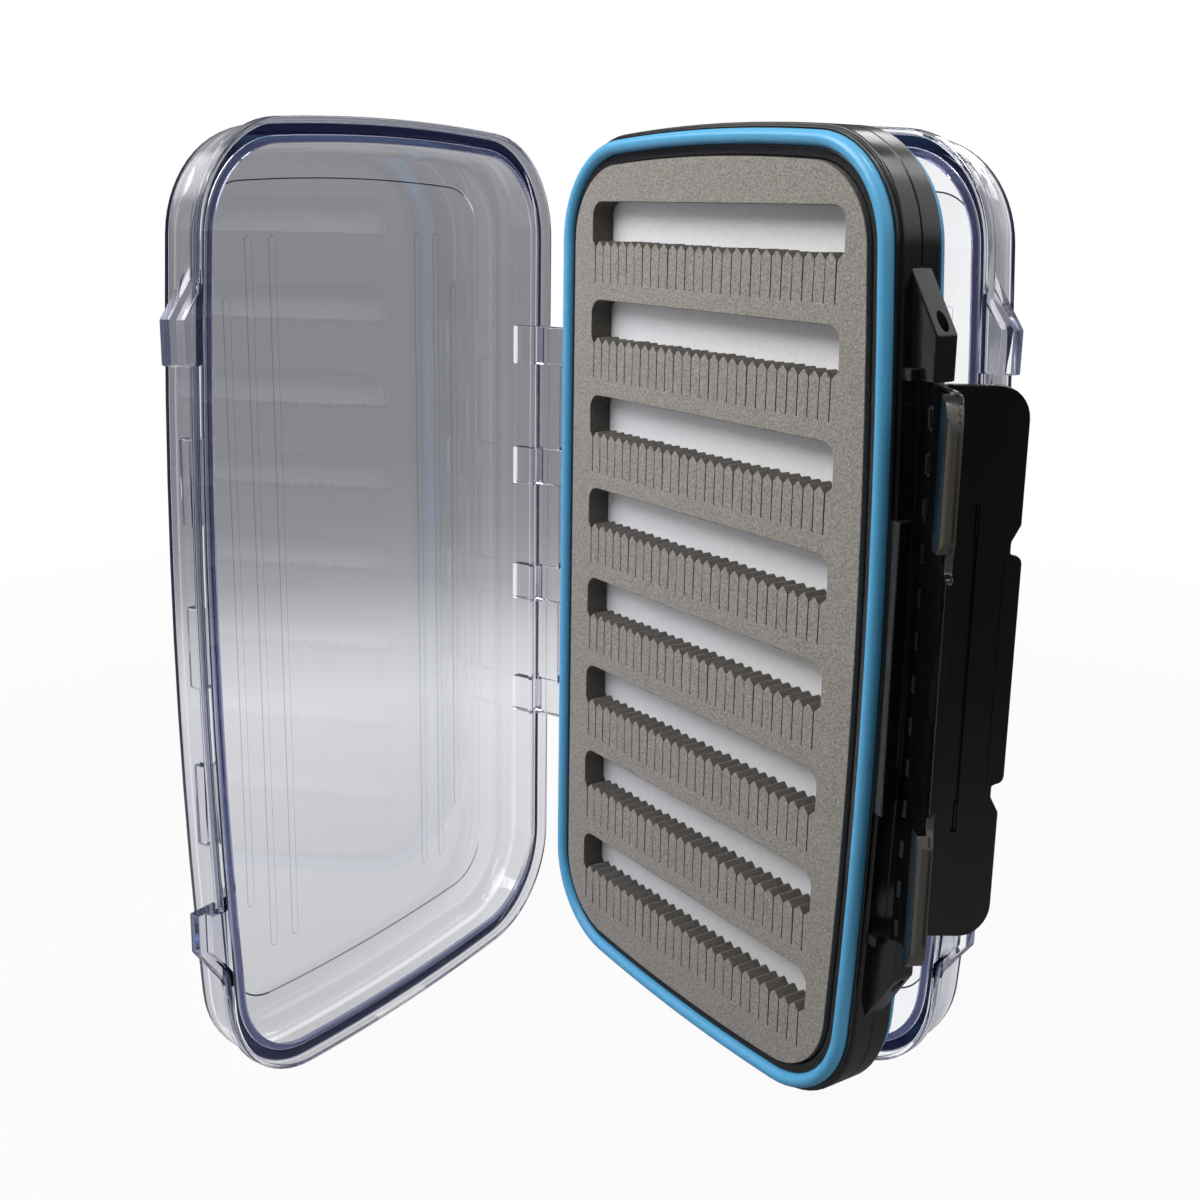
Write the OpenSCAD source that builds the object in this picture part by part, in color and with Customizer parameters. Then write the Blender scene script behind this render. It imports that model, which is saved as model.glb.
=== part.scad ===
// Double-sided fly box: a centre frame with slit foam on both faces, two clear
// hinged lids on one shared pin, and two latches on one shared pin.
// Width runs along X (hinge at -X, latches at +X), the mid-plane of the frame
// is Y = 0 with the front face towards -Y, and the box stands on Z = 0.

/* [Frame] */
// Width of the frame at mid height
frame_w = 106; // [95:0.5:130]
// Height of the frame outline from crown to crown
frame_h = 188.5; // [155:0.5:230]
// Thickness of the frame from lip to lip
frame_t = 12; // [11:0.5:15]
// Radius of the four corners of the outline
corner_r = 21.9; // [18:0.1:27]
// Radius of the bowed top and bottom edges
end_r = 438; // [350:1:600]
// Radius of the bowed latch-side edge
side_r = 991; // [800:1:1400]
// Height shaved off the bowed bottom edge so that the box can stand
foot_cut = 0.16; // [0.1:0.01:0.3]
// Distance that the lids stand out past the frame at the hinge
hinge_side_in = 0.3; // [0:0.1:0.5]
// Distance that the lids stand out past the frame at the latches
latch_side_in = 0.9; // [0:0.1:1.4]
// Distance from the frame's side wall in to the lips
lip_in = 0.6; // [0.3:0.1:1]
// Depth from the inner lip to the side wall
wall_drop = 1.6; // [1.3:0.1:2.4]
// Width of the lip outside the gasket
outer_lip_w = 0.55; // [0.4:0.05:1]
// Distance that the outer lip stands lower than the inner lip
lip_step = 0.7; // [0.3:0.1:1]
// Width of the lip between the gasket and the foam
inner_lip_w = 2.1; // [0.8:0.05:2.6]
// Thickness of the wall that divides the two sides
web_t = 1.6; // [1:0.1:2.4]
// Width of the parting line round the side wall
parting_w = 0.4; // [0.2:0.1:0.8]
// Depth of the parting line round the side wall
parting_d = 0.3; // [0.2:0.1:0.6]

/* [Gasket] */
// Width of the gasket and of its groove
gasket_w = 2.8; // [2.4:0.1:3.6]
// Height of the gasket from the groove floor to its crown
gasket_h = 3.4; // [2.8:0.1:3.6]
// Depth of the gasket groove below the lip
groove_d = 2; // [1.6:0.1:2.4]

/* [Foam] */
// Thickness of each foam sheet
foam_t = 5.3; // [4.5:0.1:5.4]
// Clearance between the foam and the frame around it
foam_gap = 0.07; // [0.02:0.01:0.3]
// Thickness of the white sheet behind each foam sheet
backing_t = 0.77; // [0.5:0.01:0.9]
// Foam left between its hinge-side edge and the windows
window_rim_hinge = 6.8; // [5:0.05:10]
// Foam left between its latch-side edge and the windows
window_rim_latch = 8.2; // [6:0.05:12]
// Least foam left above the first row and below the last one
row_rim = 7.2; // [5:0.1:12]
// Distance that the rows sit below the middle of the foam
row_drop = 0.74; // [0:0.01:1.5]
// Distance from one row of slits to the next
row_pitch = 20.5; // [19:0.1:26]
// Height of each window above the tips of the teeth
window_h = 8.18; // [6:0.1:9]
// Radius of the two upper corners of each window
window_r = 3; // [1:0.5:4]
// Depth of the slits below the tips of the teeth
slit_d = 8.6; // [6:0.1:10]
// Width of each slit
slit_w = 0.4; // [0.3:0.05:0.8]
// Distance from one slit to the next
tooth_pitch = 2.88; // [2.4:0.02:4]
// Depth of the notch between two teeth
tooth_notch = 1.1; // [0.6:0.1:1.6]

/* [Lids] */
// Distance from the mid-plane to the outside of a closed lid
lid_depth = 20; // [18:0.5:26]
// Thickness of the wall of the lids
lid_wall = 1.9; // [1.4:0.1:2.4]
// Thickness of the flange round the mouth of a lid
flange_t = 2.6; // [2:0.1:3.4]
// Distance that the flange stands out from the wall
flange_out = 1.3; // [0.8:0.1:2]
// Gap between the frame's lip and a closed lid
lid_gap = 0.4; // [0.3:0.05:0.6]
// Gap between the crown of the gasket and a closed lid
seal_gap = 0.3; // [0.3:0.05:0.5]
// Distance from the outline to the edge of the raised panel
panel_inset = 11; // [10:0.5:15]
// Height of the raised panel
panel_h = 0.4; // [0.2:0.1:0.8]
// Width of the grooves in the panel
rib_w = 1.9; // [1.2:0.1:2.6]
// Depth of the grooves in the panel
rib_d = 0.2; // [0.1:0.05:0.6]
// Distance from the outline to the inner edge of a lid's rim
land_in = 4.7; // [4.2:0.1:5.2]
// How far the front lid stands open
front_open = 67.2; // [0:0.1:90]
// How far the rear lid stands open
rear_open = 5.3; // [0:0.1:90]

/* [Hinge] */
// Distance from the frame's side to the hinge axis
hinge_out = 2.12; // [2:0.01:2.6]
// Radius of the hinge barrels
barrel_r = 2.9; // [2.4:0.1:3.1]
// Radius of the hinge pin
hinge_pin_r = 1.2; // [0.8:0.1:1.5]
// Length of each knuckle
knuckle_len = 8.6; // [6:0.1:12]
// Gap between neighbouring knuckles
knuckle_gap = 0.8; // [0.5:0.1:1.2]
// Least distance from the ends of the frame to the hinge
hinge_end = 33.5; // [30:0.5:45]
// Depth of the recess in the frame behind the barrels
hinge_recess = 1.1; // [1:0.05:1.4]

/* [Latches] */
// Distance from the frame's side to the latch pin
latch_out = 2.1; // [2:0.05:2.6]
// Radius of the latch pin
latch_pin_r = 1; // [0.8:0.1:1.1]
// Radius of the latch barrels
latch_barrel_r = 1.75; // [1.6:0.05:1.8]
// Distance from the ends of the frame to the ends of the latches
latch_end = 43.75; // [40:0.25:50]
// Reach of a latch from its pin to its edge
latch_reach = 16; // [14:0.5:18]
// Thickness of the plate of a latch
latch_t = 1.6; // [1.2:0.1:1.9]
// Depth of the groove along a latch
latch_groove_d = 1; // [0.4:0.1:1.1]
// Radius of the outer corners of a latch
latch_corner_r = 6; // [3:0.5:8]
// Half of the length of the thumb tab
tab_half = 21; // [15:0.5:24]
// Distance that the thumb tab stands past the edge
tab_out = 0.6; // [0.3:0.1:1.2]
// Length of the notch at each end of the thumb tab
notch_len = 5.4; // [4:0.1:7]
// Half of the length of the groove along a latch
groove_half = 30; // [20:1:36]
// Length of each latch knuckle
latch_knuckle = 3.56; // [3:0.02:5]
// Gap between latches, lugs and neighbouring knuckles
latch_gap = 0.3; // [0.3:0.05:0.5]
// Angle between the front latch and the plane of the frame
front_latch_rest = 30; // [15:1:90]
// Angle between the rear latch and the plane of the frame
rear_latch_rest = 56; // [15:1:90]

/* [Lugs] */
// Thickness of the lugs on the frame
lug_t = 5; // [4:0.1:5.4]
// Length of the part of a lug that stands square
lug_square = 7.9; // [6:0.1:10]
// Length of the sloping part of a lug
lug_slope = 12.9; // [8:0.1:14]
// Distance that the lugs stand out from the frame's side
lug_out = 3.5; // [3.4:0.1:4.5]
// Depth of the front and narrower part of the lugs on the lids
lid_lug_front = 2; // [1.4:0.1:2.6]
// Depth of the rear and wider part of the lugs on the lids
lid_lug_back = 2.6; // [1.6:0.1:4]
// Distance that the rear part stands out past the front part
lid_lug_step = 1.5; // [0.5:0.1:2]

/* [Fit] */
// Gap between bodies that pass each other
run_gap = 0.3; // [0.3:0.05:0.5]
// Radial clearance of the moving knuckles on their pins
pin_gap = 0.06; // [0.02:0.01:0.1]
// Radial clearance of the pins in the frame
pin_seat = 0.02; // [0.01:0.01:0.05]

/* [Hidden] */
$fn = 48;
tiny = 0.01;
past = 1;

// The outline of the frame, about its own centre.
half_w = frame_w / 2;
half_h = frame_h / 2;
mid_z = half_h - foot_cut;
corner_steps = 10;
end_steps = 8;
side_steps = 8;
end_c = [0, half_h - end_r];
side_c = [half_w - side_r, 0];
left_x = corner_r - half_w;
left_c = [left_x, end_c[1] + sqrt(pow(end_r - corner_r, 2) - left_x * left_x)];
right_c = upper_meet(side_c, side_r - corner_r, end_c, end_r - corner_r);
left_turn = bearing(end_c, left_c);
right_turn = bearing(end_c, right_c);
side_turn = bearing(side_c, right_c);

// Depths from the mid-plane.
half_t = frame_t / 2;
web = web_t / 2;
foam_back = web + backing_t;
foam_face = foam_back + foam_t;
groove_floor = half_t - groove_d;
gasket_top = groove_floor + gasket_h;
flange_low = half_t + lid_gap;
rim_face = gasket_top + seal_gap;
flange_top = flange_low + flange_t;
crown = lid_depth - panel_h;
crown_start = crown - 4.1;
crown_mid = crown - 1.4;
inner_crown = crown - lid_wall;
inner_start = inner_crown - 3;
inner_mid = inner_crown - 1;

// Distances inwards from the wall to the two bends of a lid's shoulder.
shoulder_in = 1.2;
crown_in = 4;

// The grooves in the panel: distance from their middle and end gap of each pair.
grooves_x = 0.2;
grooves = [[33.1, 34], [27.2, 23], [21.1, 23]];

// Distances inwards from the outline of the lids. The frame keeps to the same
// outline, squeezed a little from both sides.
squeeze = 1 - (hinge_side_in + latch_side_in) / frame_w;
squeezed_mid = (hinge_side_in - latch_side_in) / 2;
wall_top = half_t - wall_drop;
gasket_out = lip_in + outer_lip_w;
gasket_in = gasket_out + gasket_w;
pocket = gasket_in + inner_lip_w;
foam_edge = pocket + foam_gap;
rim_in = flange_out + lid_wall;
rim_edge = 0.9;

// The rows of windows and slits in the foam.
foam_half_h = half_h - foam_edge;
foam_half_w = (half_w - foam_edge) * squeeze;
window_left = squeezed_mid - foam_half_w + window_rim_hinge;
window_right = squeezed_mid + foam_half_w - window_rim_latch;
row_depth = window_h + slit_d;
row_n = 1 + floor((2 * foam_half_h - 2 * row_rim - row_depth) / row_pitch);
rows_top = mid_z - row_drop + ((row_n - 1) * row_pitch + row_depth) / 2;
slit_margin = 1.1;
first_slit = window_left + slit_margin;
tooth_n = floor((window_right - first_slit) / tooth_pitch);
tip_half = 0.14 * tooth_pitch;
tip_drop = 0.12;

// The hinge.
hinge_x = -half_w - hinge_out;
knuckle_pitch = knuckle_len + knuckle_gap;
hinge_groups = floor((frame_h - 2 * hinge_end) / (3 * knuckle_pitch));
knuckle_n = 3 * hinge_groups + 1;
hinge_half = (knuckle_n * knuckle_pitch - knuckle_gap) / 2;
recess_x = -half_w + hinge_recess;
arm_x = recess_x - run_gap;
arm_sunk = 0.6;
frame_arm_x = 3 - half_w;
skirt_t = 1.5;
skirt_x = arm_x - skirt_t;
boss_x = -half_w - 1.1;
boss_sunk = 1;

// The latches.
latch_x = half_w + latch_out;
latch_half = half_h - latch_end;
slot_n = 2 * floor((2 * latch_half + latch_gap) / (latch_knuckle + latch_gap) / 2);
slot_pitch = (2 * latch_half + latch_gap) / slot_n;
lug_low = latch_half + latch_gap;
lug_top = lug_low + lug_square + lug_slope;
lug_x = half_w + lug_out;
lug_root = 3;
lug_foot = 1.8;
lid_lug_x = lug_x - 0.6;
lid_lug_root = 4;
lid_lug_slope = 1.35;
ledge_w = 8.6;
ledge_h = 2.2;
strip_near = 2.4;
strip_far = 5.2;
strip_half = 27;
strip_root = 3;
strip_out = 0.6;

// Along a latch from its pin: the plate, its bent tip, and the hooks behind it.
latch_skin = 0.5;
plate_root = 2.5;
bend_s = latch_reach - 3.5;
tip_s = latch_reach + tab_out;
tip_rise = 0.3;
hook_s = flange_top + 0.5;
hook_root = 1.5;
hook_d = 2.9;
hook_blunt = 0.8;
lip_s = flange_top + 2.5;
groove_s = 7.3;
groove_w = 1.2;

// From the middle of a latch towards its ends.
hook_from = tab_half + notch_len;
hook_early = 2;
notch_d = 1.6;
notch_slope = 3;
tab_gap = 0.3;
tab_r = 1.5;
blank_root = 3;
blank_t = 8;

// The ridges on the lids that the hooks catch.
ridge_top = lip_s - run_gap;
ridge_len = 15.8;
ridge_root = 4;
catch_from = hook_from - 4.1;

function bearing(a, b) = atan2(b[1] - a[1], b[0] - a[0]);

// Where two circles cross, on the upper side of the line from the first centre
// to the second.
function upper_meet(c1, r1, c2, r2) =
    let (d = norm(c2 - c1), u = (c2 - c1) / d,
         along = (r1 * r1 - r2 * r2 + d * d) / (2 * d),
         up = sqrt(r1 * r1 - along * along))
    c1 + u * along + [-u[1], u[0]] * up;

function arc(c, r, from, to, steps) =
    [for (i = [0:steps]) c + r * [cos(from + (to - from) * i / steps), sin(from + (to - from) * i / steps)]];

function inner_part(points) = [for (i = [1:len(points) - 2]) points[i]];

function upside_down(points) = [for (i = [len(points) - 1:-1:0]) [points[i][0], -points[i][1]]];

// The outline moved inwards by inset: concentric arcs that stay tangent.
function upper_outline(inset) =
    concat(arc(left_c, corner_r - inset, 180, left_turn, corner_steps),
           inner_part(arc(end_c, end_r - inset, left_turn, right_turn, end_steps)),
           arc(right_c, corner_r - inset, right_turn, side_turn, corner_steps));

function outline(inset) =
    concat(upper_outline(inset),
           inner_part(arc(side_c, side_r - inset, side_turn, -side_turn, side_steps)),
           upside_down(upper_outline(inset)));

function frame_outline(inset) =
    [for (p = outline(inset)) [squeezed_mid + squeeze * p[0], p[1]]];

// A shape drawn in X and Z, filling the depths from near to far on the front.
module slab(near, far)
    translate([0, -near, mid_z]) rotate([90, 0, 0]) linear_extrude(far - near) children();

module plate(inset, near, far)
    slab(near, far) polygon(outline(inset));

module frame_plate(inset, near, far)
    slab(near, far) polygon(frame_outline(inset));

module rear()
    mirror([0, 1, 0]) children();

module both_sides() {
    children();
    rear() children();
}

// The same shape at the top and at the bottom.
module both_ends() {
    children();
    translate([0, 0, 2 * mid_z]) mirror([0, 0, 1]) children();
}

module turned(x, angle)
    translate([x, 0, 0]) rotate([0, 0, angle]) translate([-x, 0, 0]) children();

// Everything below the surface that the box stands on.
module below_floor()
    translate([-frame_w, -frame_w, -frame_w]) cube([2 * frame_w, 2 * frame_w, frame_w]);

module hinge_barrel(from, to, r)
    translate([hinge_x, 0, mid_z + from]) cylinder(r = r, h = to - from);

module latch_barrel(from, to, r)
    translate([latch_x, 0, mid_z + from]) cylinder(r = r, h = to - from);

// One knuckle of the hinge with the arm that carries it.
module hinge_knuckle(slot, arm_from, arm_to, near, far) {
    low = slot * knuckle_pitch - hinge_half;
    hinge_barrel(low, low + knuckle_len, barrel_r);
    translate([arm_from, -far, mid_z + low]) cube([arm_to - arm_from, far - near, knuckle_len]);
}

// A lug on the frame, with a low ledge at its foot.
module frame_lug() {
    root_x = half_w - lug_root;
    inner_x = root_x - lug_foot;
    bend = lug_low + lug_square;
    slab(-lug_t / 2, lug_t / 2)
        polygon([[inner_x, lug_top], [lug_x, bend], [lug_x, lug_low], [root_x, lug_low],
                 [inner_x, bend]]);
    translate([root_x, -ledge_w / 2, mid_z + lug_low]) cube([lug_root, ledge_w, ledge_h]);
}

module parting_line()
    slab(-parting_w / 2, parting_w / 2) difference() {
        polygon(frame_outline(-past));
        polygon(frame_outline(parting_d));
    }

module gasket_groove()
    slab(groove_floor, half_t + past) difference() {
        polygon(frame_outline(gasket_out));
        polygon(frame_outline(gasket_in));
    }

// The outer lip is lower than the inner one.
module outer_lip_step()
    slab(half_t - lip_step, half_t + past) difference() {
        polygon(frame_outline(-past));
        polygon(frame_outline(gasket_out));
    }

// Raised strips on the latch side, behind the closed latches.
module latch_side_strips()
    both_sides() slab(strip_near, strip_far)
        translate([half_w - strip_root, -strip_half]) square([strip_root + strip_out, 2 * strip_half]);

module centre_frame() color([0.06, 0.06, 0.06]) difference() {
    union() {
        frame_plate(0, -wall_top, wall_top);
        frame_plate(lip_in, -half_t, half_t);
        for (slot = [0:3:knuckle_n - 1])
            hinge_knuckle(slot, hinge_x, frame_arm_x, -barrel_r, barrel_r);
        both_ends() frame_lug();
        latch_side_strips();
    }
    both_sides() {
        frame_plate(pocket, web, half_t + past);
        gasket_groove();
        outer_lip_step();
    }
    parting_line();
    hinge_recesses();
    hinge_barrel(-hinge_half - past, hinge_half + past, hinge_pin_r + pin_seat);
    latch_barrel(-lug_top, lug_top, latch_pin_r + pin_seat);
    below_floor();
}

// The frame is set back behind the barrels, except where its own arms cross.
module hinge_recesses()
    difference() {
        translate([hinge_x, -half_t - past, mid_z - hinge_half - knuckle_gap])
            cube([recess_x - hinge_x, frame_t + 2 * past, 2 * (hinge_half + knuckle_gap)]);
        for (slot = [0:3:knuckle_n - 1])
            hinge_knuckle(slot, hinge_x, frame_arm_x, -barrel_r, barrel_r);
    }

// A gasket is a round-crowned bead, swept round the outline.
function gasket_profile() =
    let (r = gasket_w / 2, c = gasket_top - r, m = gasket_out + r)
    concat([[gasket_in, groove_floor]],
           [for (a = [0:22.5:180]) [m + r * cos(a), c + r * sin(a)]],
           [[gasket_out, groove_floor]]);

module swept_ring(profile) {
    rings = [for (p = profile) [for (q = frame_outline(p[0])) [q[0], -p[1], q[1] + mid_z]]];
    n = len(rings[0]);
    m = len(rings);
    polyhedron(points = [for (ring = rings) each ring],
               faces = [for (j = [0:m - 1]) for (i = [0:n - 1])
                            let (a = j * n + i, b = j * n + (i + 1) % n,
                                 c = ((j + 1) % m) * n + (i + 1) % n, d = ((j + 1) % m) * n + i)
                            each [[a, b, c], [a, c, d]]]);
}

module front_gasket() color([0.27, 0.6, 0.8]) swept_ring(gasket_profile());

module rear_gasket() color([0.27, 0.6, 0.8]) rear() swept_ring(gasket_profile());

module backing() frame_plate(foam_edge, web, foam_back);

module front_backing() color([0.92, 0.92, 0.92]) backing();

module rear_backing() color([0.92, 0.92, 0.92]) rear() backing();

// A row: the window, the pointed tips of the teeth and the slits between them.
// Heights are from the tips.
function tooth_tips() =
    [for (k = [0:tooth_n - 1]) let (x = first_slit + k * tooth_pitch)
        each [[x + slit_w / 2, -slit_d], [x + slit_w / 2, -tooth_notch],
              [x + tooth_pitch / 2 - tip_half, -tip_drop], [x + tooth_pitch / 2, 0],
              [x + tooth_pitch / 2 + tip_half, -tip_drop],
              [x + tooth_pitch - slit_w / 2, -tooth_notch], [x + tooth_pitch - slit_w / 2, -slit_d]]];

function row_outline() =
    concat([[window_left, 0], [first_slit - slit_w / 2, -tooth_notch], [first_slit - slit_w / 2, -slit_d]],
           tooth_tips(),
           [[first_slit + tooth_n * tooth_pitch + slit_w / 2, -slit_d],
            [first_slit + tooth_n * tooth_pitch + slit_w / 2, -tooth_notch],
            [window_right, 0]],
           arc([window_right - window_r, window_h - window_r], window_r, 0, 90, 4),
           arc([window_left + window_r, window_h - window_r], window_r, 90, 180, 4));

module foam() difference() {
    frame_plate(foam_edge, foam_back, foam_face);
    for (row = [0:row_n - 1])
        slab(foam_back - past, foam_face + past)
            translate([0, rows_top - mid_z - window_h - row * row_pitch]) polygon(row_outline());
}

module front_foam() color([0.5, 0.48, 0.45]) foam();

module rear_foam() color([0.5, 0.48, 0.45]) rear() foam();

module hinge_pin() color("silver") hinge_barrel(-hinge_half, hinge_half, hinge_pin_r);

module latch_pin() color("silver")
    latch_barrel(-lug_low - lug_square, lug_low + lug_square, latch_pin_r);

// A lid, closed on the front. Its outer and inner forms share their corners.
module lid_form(wall_inset, low, start, mid_depth, top) {
    plate(wall_inset, low, start);
    hull() {
        plate(wall_inset, start - tiny, start);
        plate(wall_inset + shoulder_in, mid_depth - tiny, mid_depth);
        plate(wall_inset + crown_in, top - tiny, top);
    }
}

// One long groove with round ends, drawn in X and Z.
module groove_outline(x, end_gap) {
    reach = half_h - end_gap;
    translate([x - rib_w / 2, -reach]) square([rib_w, 2 * reach]);
    both_groove_ends(x, reach);
}

module both_groove_ends(x, reach)
    for (z = [-reach, reach]) translate([x, z]) circle(r = rib_w / 2);

module panel_grooves()
    slab(lid_depth - rib_d, lid_depth + past)
        for (side = [-1, 1], groove = grooves)
            groove_outline(grooves_x + side * groove[0], groove[1]);

// The knuckles that belong to this lid start at slot first.
module lid_hinge(first) {
    slots = [first:3:knuckle_n - 1];
    last = first + 3 * (hinge_groups - 1);
    low = first * knuckle_pitch - hinge_half;
    high = last * knuckle_pitch - hinge_half + knuckle_len;
    translate([skirt_x, -flange_top, mid_z + low])
        cube([skirt_t, flange_top - barrel_r - run_gap, high - low]);
    translate([skirt_x, -flange_top, mid_z + low])
        cube([frame_arm_x - skirt_x, flange_t, high - low]);
    for (slot = slots) {
        hinge_knuckle(slot, hinge_x + arm_sunk, arm_x, 0, flange_top);
        translate([boss_x, -crown_start, mid_z + slot * knuckle_pitch - hinge_half])
            cube([flange_out + boss_sunk - half_w - boss_x, crown_start - flange_low, knuckle_len]);
    }
}

module catch_ridge(from, to)
    translate([half_w - ridge_root, -ridge_top, mid_z + from])
        cube([ridge_root, ridge_top - flange_low, to - from]);

// A stepped lug on the wall of a lid, level with the front of its rim.
module lid_lug_part(out_x, near, far) {
    root_x = half_w - lid_lug_root;
    bend = lug_low + lug_square;
    slab(near, far)
        polygon([[root_x, bend + lid_lug_slope * (out_x - root_x)], [out_x, bend],
                 [out_x, lug_low], [root_x, lug_low]]);
}

module lid_lug() {
    middle = flange_low + lid_lug_front;
    lid_lug_part(lid_lug_x - lid_lug_step, flange_low, middle);
    lid_lug_part(lid_lug_x, middle - tiny, middle + lid_lug_back);
}

module lid(first) difference() {
    union() {
        plate(0, flange_low, flange_top);
        lid_form(flange_out, flange_low, crown_start, crown_mid, crown);
        plate(panel_inset, crown - tiny, lid_depth);
        lid_hinge(first);
        both_ends() lid_lug();
        both_ends() catch_ridge(catch_from, catch_from + ridge_len);
        catch_ridge(-ridge_len / 2, ridge_len / 2);
    }
    plate(land_in, flange_low - past, flange_top + tiny);
    lid_form(rim_in, flange_top, inner_start, inner_mid, inner_crown);
    slab(flange_low - past, rim_face) difference() {
        polygon(outline(rim_edge));
        polygon(outline(land_in + past));
    }
    panel_grooves();
    hinge_barrel(-hinge_half - past, hinge_half + past, hinge_pin_r + pin_gap);
    below_floor();
}

module front_lid() color([0.8, 0.84, 0.9, 0.4]) turned(hinge_x, -front_open) lid(2);

module rear_lid() color([0.8, 0.84, 0.9, 0.4]) rear() turned(hinge_x, -rear_open) lid(1);

// A latch, closed on the front, seen along its pin: reach s away from the pin
// and depth d towards the lid.
function latch_point(s, d) = [latch_x - d, -s];

function latch_points(list) = [for (p = list) latch_point(p[0], p[1])];

plate_section = latch_points([[0, -latch_skin], [bend_s, -latch_skin], [tip_s, tip_rise],
    [tip_s, latch_t], [bend_s, latch_t - latch_skin], [0, latch_t - latch_skin]]);

hook_section = latch_points([[hook_s - hook_root, 0], [bend_s, 0], [latch_reach, tip_rise],
    [latch_reach, hook_d - hook_blunt], [latch_reach - hook_blunt, hook_d], [lip_s, hook_d],
    [lip_s, latch_t], [hook_s, latch_t]]);

// Seen from the side: reach s against height from the middle of the latch.
function latch_edge() =
    concat([[-blank_root, 0], [-blank_root, latch_half]],
           arc([latch_reach - latch_corner_r, latch_half - latch_corner_r], latch_corner_r, 90, 0, 6),
           [[latch_reach, hook_from], [latch_reach - notch_d, hook_from - notch_slope],
            [latch_reach - notch_d, tab_half + tab_gap]],
           arc([tip_s - tab_r, tab_half - tab_r], tab_r, 90, 0, 3),
           [[tip_s, 0]]);

module latch_blank(section)
    intersection() {
        translate([0, 0, mid_z - latch_half]) linear_extrude(2 * latch_half) polygon(section);
        latch_silhouette();
    }

module latch_silhouette()
    both_ends() translate([latch_x + blank_root, 0, mid_z]) rotate([0, -90, 0])
        linear_extrude(blank_t) polygon([for (p = latch_edge()) [p[1], -p[0]]]);

module latch_hooks()
    both_ends() intersection() {
        latch_blank(hook_section);
        translate([latch_x - blank_t / 2, -latch_reach - past, mid_z + hook_from - hook_early])
            cube([blank_t, latch_reach + past, latch_half]);
    }

// The knuckle slots that belong to the other latch are cut away.
module other_knuckles(first)
    for (slot = [first:2:slot_n - 1])
        translate([latch_x - blank_t / 2, -plate_root, mid_z - latch_half + slot * slot_pitch - latch_gap])
            cube([blank_t, 2 * plate_root, slot_pitch + latch_gap]);

module latch(other) difference() {
    union() {
        latch_barrel(-latch_half, latch_half, latch_barrel_r);
        latch_blank(plate_section);
        latch_hooks();
    }
    other_knuckles(other);
    translate([latch_x + latch_skin - latch_groove_d, -groove_s - groove_w, mid_z - groove_half])
        cube([latch_t, groove_w, 2 * groove_half]);
    latch_barrel(-latch_half - past, latch_half + past, latch_pin_r + pin_gap);
}

module front_latch() color([0.09, 0.09, 0.1]) turned(latch_x, 90 - front_latch_rest) latch(0);

module rear_latch() color([0.09, 0.09, 0.1]) rear() turned(latch_x, 90 - rear_latch_rest) latch(1);

centre_frame();
front_gasket();
rear_gasket();
front_backing();
rear_backing();
front_foam();
rear_foam();
hinge_pin();
latch_pin();
front_lid();
rear_lid();
front_latch();
rear_latch();
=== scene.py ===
# %% [markdown]
# # A double-sided fly box
# The real box is an open book that stands on its short end: a black frame in the middle,
# a blue gasket and a sheet of slit foam on each face, two clear lids that share one hinge
# pin, and two black latches that share one latch pin. Every cell below makes one of these
# pieces, in millimetres about the closed box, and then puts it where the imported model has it.

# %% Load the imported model
from math import atan2, cos, dist, pi, radians, sin, sqrt
import bmesh
import bpy
from mathutils import Matrix, Vector


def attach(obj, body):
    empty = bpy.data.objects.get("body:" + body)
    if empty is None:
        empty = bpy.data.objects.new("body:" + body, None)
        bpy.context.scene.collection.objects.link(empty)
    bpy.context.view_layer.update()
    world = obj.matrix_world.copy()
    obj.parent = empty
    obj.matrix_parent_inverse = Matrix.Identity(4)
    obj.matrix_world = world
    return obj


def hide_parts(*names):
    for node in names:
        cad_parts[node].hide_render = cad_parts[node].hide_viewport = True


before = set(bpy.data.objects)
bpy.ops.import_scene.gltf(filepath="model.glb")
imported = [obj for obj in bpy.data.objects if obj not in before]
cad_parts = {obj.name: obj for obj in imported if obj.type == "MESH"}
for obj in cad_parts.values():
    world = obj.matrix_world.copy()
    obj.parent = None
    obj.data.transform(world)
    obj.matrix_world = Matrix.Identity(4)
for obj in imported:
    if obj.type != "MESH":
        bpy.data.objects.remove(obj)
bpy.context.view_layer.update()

# %% [markdown]
# ## The outline
# The frame is not a plain rounded rectangle. Its ends and its latch side bow outwards, and
# arcs join them. A larger or smaller outline with the same centres stays parallel to this
# one, so one function gives every edge of the lids. The frame sits a little inside the lids,
# more at the latches than at the hinge, so its edges use the same outline slightly squeezed.

# %% Outline of the frame
MM = 0.001
FRAME_W, FRAME_H = 106.0, 188.5
CORNER_R, END_R, SIDE_R = 21.9, 438.0, 991.0
HALF_W, HALF_H = FRAME_W / 2, FRAME_H / 2
FOOT_FLAT = 0.16  # how far the floor cuts into the crown of the lower end
MID_Z = HALF_H - FOOT_FLAT
CORNER_STEPS, END_STEPS, SIDE_STEPS = 14, 12, 10


def arc(centre, radius, start, end, steps):
    """Points on an arc, with the angles in radians."""
    angles = [start + (end - start) * i / steps for i in range(steps + 1)]
    return [(centre[0] + radius * cos(a), centre[1] + radius * sin(a)) for a in angles]


def bearing(a, b):
    return atan2(b[1] - a[1], b[0] - a[0])


def upper_meet(c1, r1, c2, r2):
    """Where two circles cross, on the upper side of the line from c1 to c2."""
    d = dist(c1, c2)
    ux, uy = (c2[0] - c1[0]) / d, (c2[1] - c1[1]) / d
    along = (r1 * r1 - r2 * r2 + d * d) / (2 * d)
    up = sqrt(r1 * r1 - along * along)
    return (c1[0] + ux * along - uy * up, c1[1] + uy * along + ux * up)


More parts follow.
